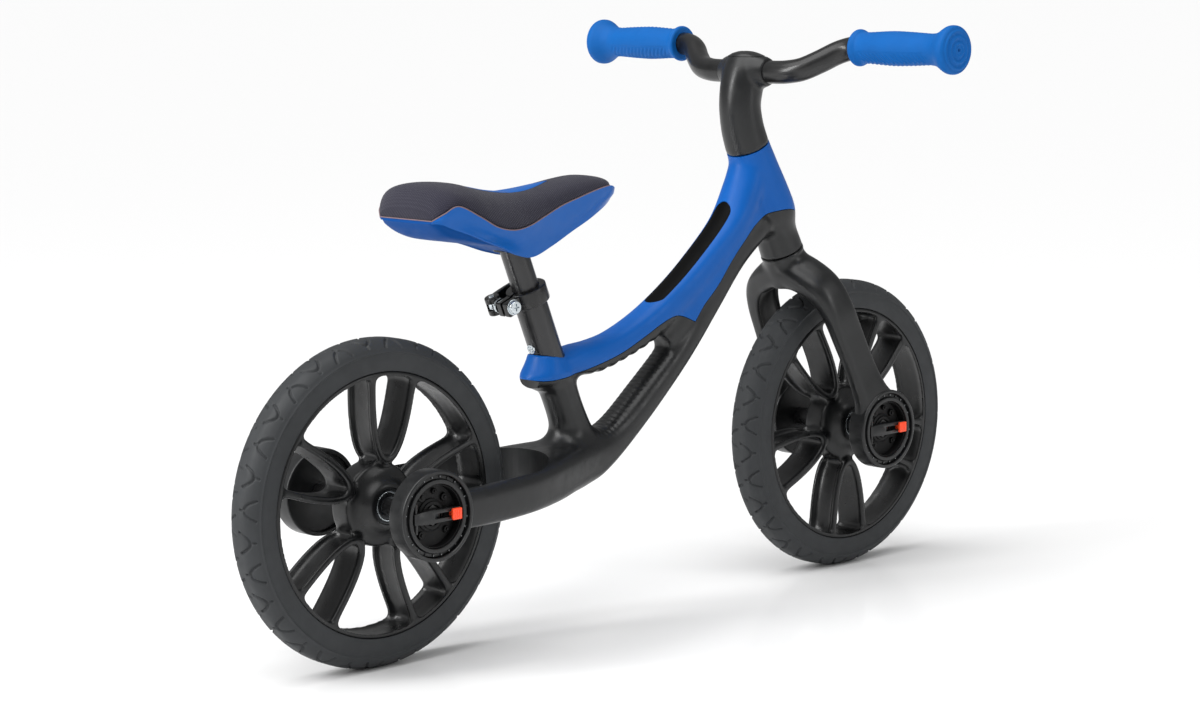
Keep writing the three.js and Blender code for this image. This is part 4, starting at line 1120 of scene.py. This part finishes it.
def ribbon(name, path, radius, count=12):
    """A round bead along a closed path."""
    path = np.asarray(path, float)
    d = unit(np.roll(path, -1, axis=0) - np.roll(path, 1, axis=0))
    u = unit(np.cross(d, [0, 0, 1.0]))
    v = np.cross(d, u)
    angle = full_turn(count)
    around = np.cos(angle)[None, :, None] * u[:, None, :] + np.sin(angle)[None, :, None] * v[:, None, :]
    return skin(name, path[:, None, :] + radius * around, loop=True)


rim = np.array(cushion_rings(150, 3, 1, 0))
edge_path = np.vstack([rim[:, 0], rim[::-1, 2]])
finish(ribbon("seat_piping", edge_path, 0.5), PIPING, "seat", "fabric")


def patch(name, back, front, half, raised, depth=2.2):
    """A lens-shaped glossy patch laid on the cushion's crown."""
    tree = BVHTree.FromObject(cushion, bpy.context.evaluated_depsgraph_get())
    rings = []
    for t in np.linspace(0, 1, 61):
        x = back + (front - back) * t
        width = max(0.4, half * 4 * t * (1 - t) * (0.78 + 0.22 * t))
        top = []
        for part in np.linspace(-1, 1, 18):
            start = Vector(place((x, width * part, 440)))
            crown = tree.ray_cast(start, Vector((0, 0, -1)))[0].z * 1000
            top.append((x, width * part, crown + raised * (1 - 0.75 * abs(part) ** 6)))
        rings.append(top + [(a, b, c - depth) for a, b, c in top[::-1]])
    return crisp(skin(name, rings), 50)


finish(patch("seat_patch_look", back=98, front=209, half=13.5, raised=0.7),
       SEAT_BLUE, "seat", "shell", "seat_patch")

# ---- floor, light and camera ----
def floor_material(name, level, shine):
    """A pale matt floor with a little even polish."""
    mat = bpy.data.materials.new(name)
    mat.use_nodes = True
    new, link = mat.node_tree.nodes.new, mat.node_tree.links.new
    matt, gloss = new("ShaderNodeBsdfDiffuse"), new("ShaderNodeBsdfAnisotropic")
    both = new("ShaderNodeMixShader")
    dial(matt, {"Color": (level, level, level, 1)})
    dial(gloss, {"Roughness": 0.12})
    dial(both, {"Fac": shine})
    link(matt.outputs[0], both.inputs[1])
    link(gloss.outputs[0], both.inputs[2])
    link(both.outputs[0], mat.node_tree.nodes["Material Output"].inputs["Surface"])
    return mat


FLOOR_HALF = 600000.0
corners = [(x * FLOOR_HALF, y * FLOOR_HALF, 0) for x, y in ((-1, -1), (1, -1), (1, 1), (-1, 1))]
floor = make("floor", corners, [(0, 1, 2, 3)], smooth=False)
dress(floor, floor_material("pale_floor", level=0.95, shine=0.2))

world = bpy.data.worlds.new("studio")
bpy.context.scene.world = world
world.use_nodes = True
dial(world.node_tree.nodes["Background"], {"Color": (1, 1, 1, 1), "Strength": 0.32})


def lamp(name, kind, energy, position, target=(0, 0, 0.25), size=(1, 1), spread=60):
    data = bpy.data.lights.new(name, kind)
    data.energy = energy
    if kind == "AREA":
        data.shape = "RECTANGLE"
        data.size, data.size_y = size
    else:
        data.angle = math.radians(spread)
    obj = added(name, data)
    obj.location = position
    obj.rotation_euler = (Vector(target) - Vector(position)).to_track_quat("-Z", "Y").to_euler()


lamp("overhead", "SUN", energy=3.0, position=(-0.9, -0.1, 2.6), spread=70)
lamp("left_box", "AREA", energy=34, position=(-2.2, 0.7, 1.3), size=(0.45, 1.6))
lamp("right_box", "AREA", energy=10, position=(1.0, -2.3, 1.2), size=(0.4, 1.6))

CAMERA_TARGET, CAMERA_DISTANCE = Vector((-0.0286, 0, 0.2422)), 2.6721
azimuth, elevation, roll = math.radians(-43.48), math.radians(8.06), math.radians(-0.45)
level = math.cos(elevation)
back = Vector((math.sin(azimuth) * level, -math.cos(azimuth) * level, math.sin(elevation)))
camera_data = bpy.data.cameras.new("camera")
camera_data.lens = 86.13
camera_data.sensor_width = 36.0
camera = added("camera", camera_data)
turn = back.to_track_quat("Z", "Y").to_matrix() @ Matrix.Rotation(roll, 3, "Z")
camera.matrix_world = Matrix.Translation(CAMERA_TARGET + back * CAMERA_DISTANCE) @ turn.to_4x4()
bpy.context.scene.camera = camera
bpy.context.scene.view_settings.view_transform = "Standard"
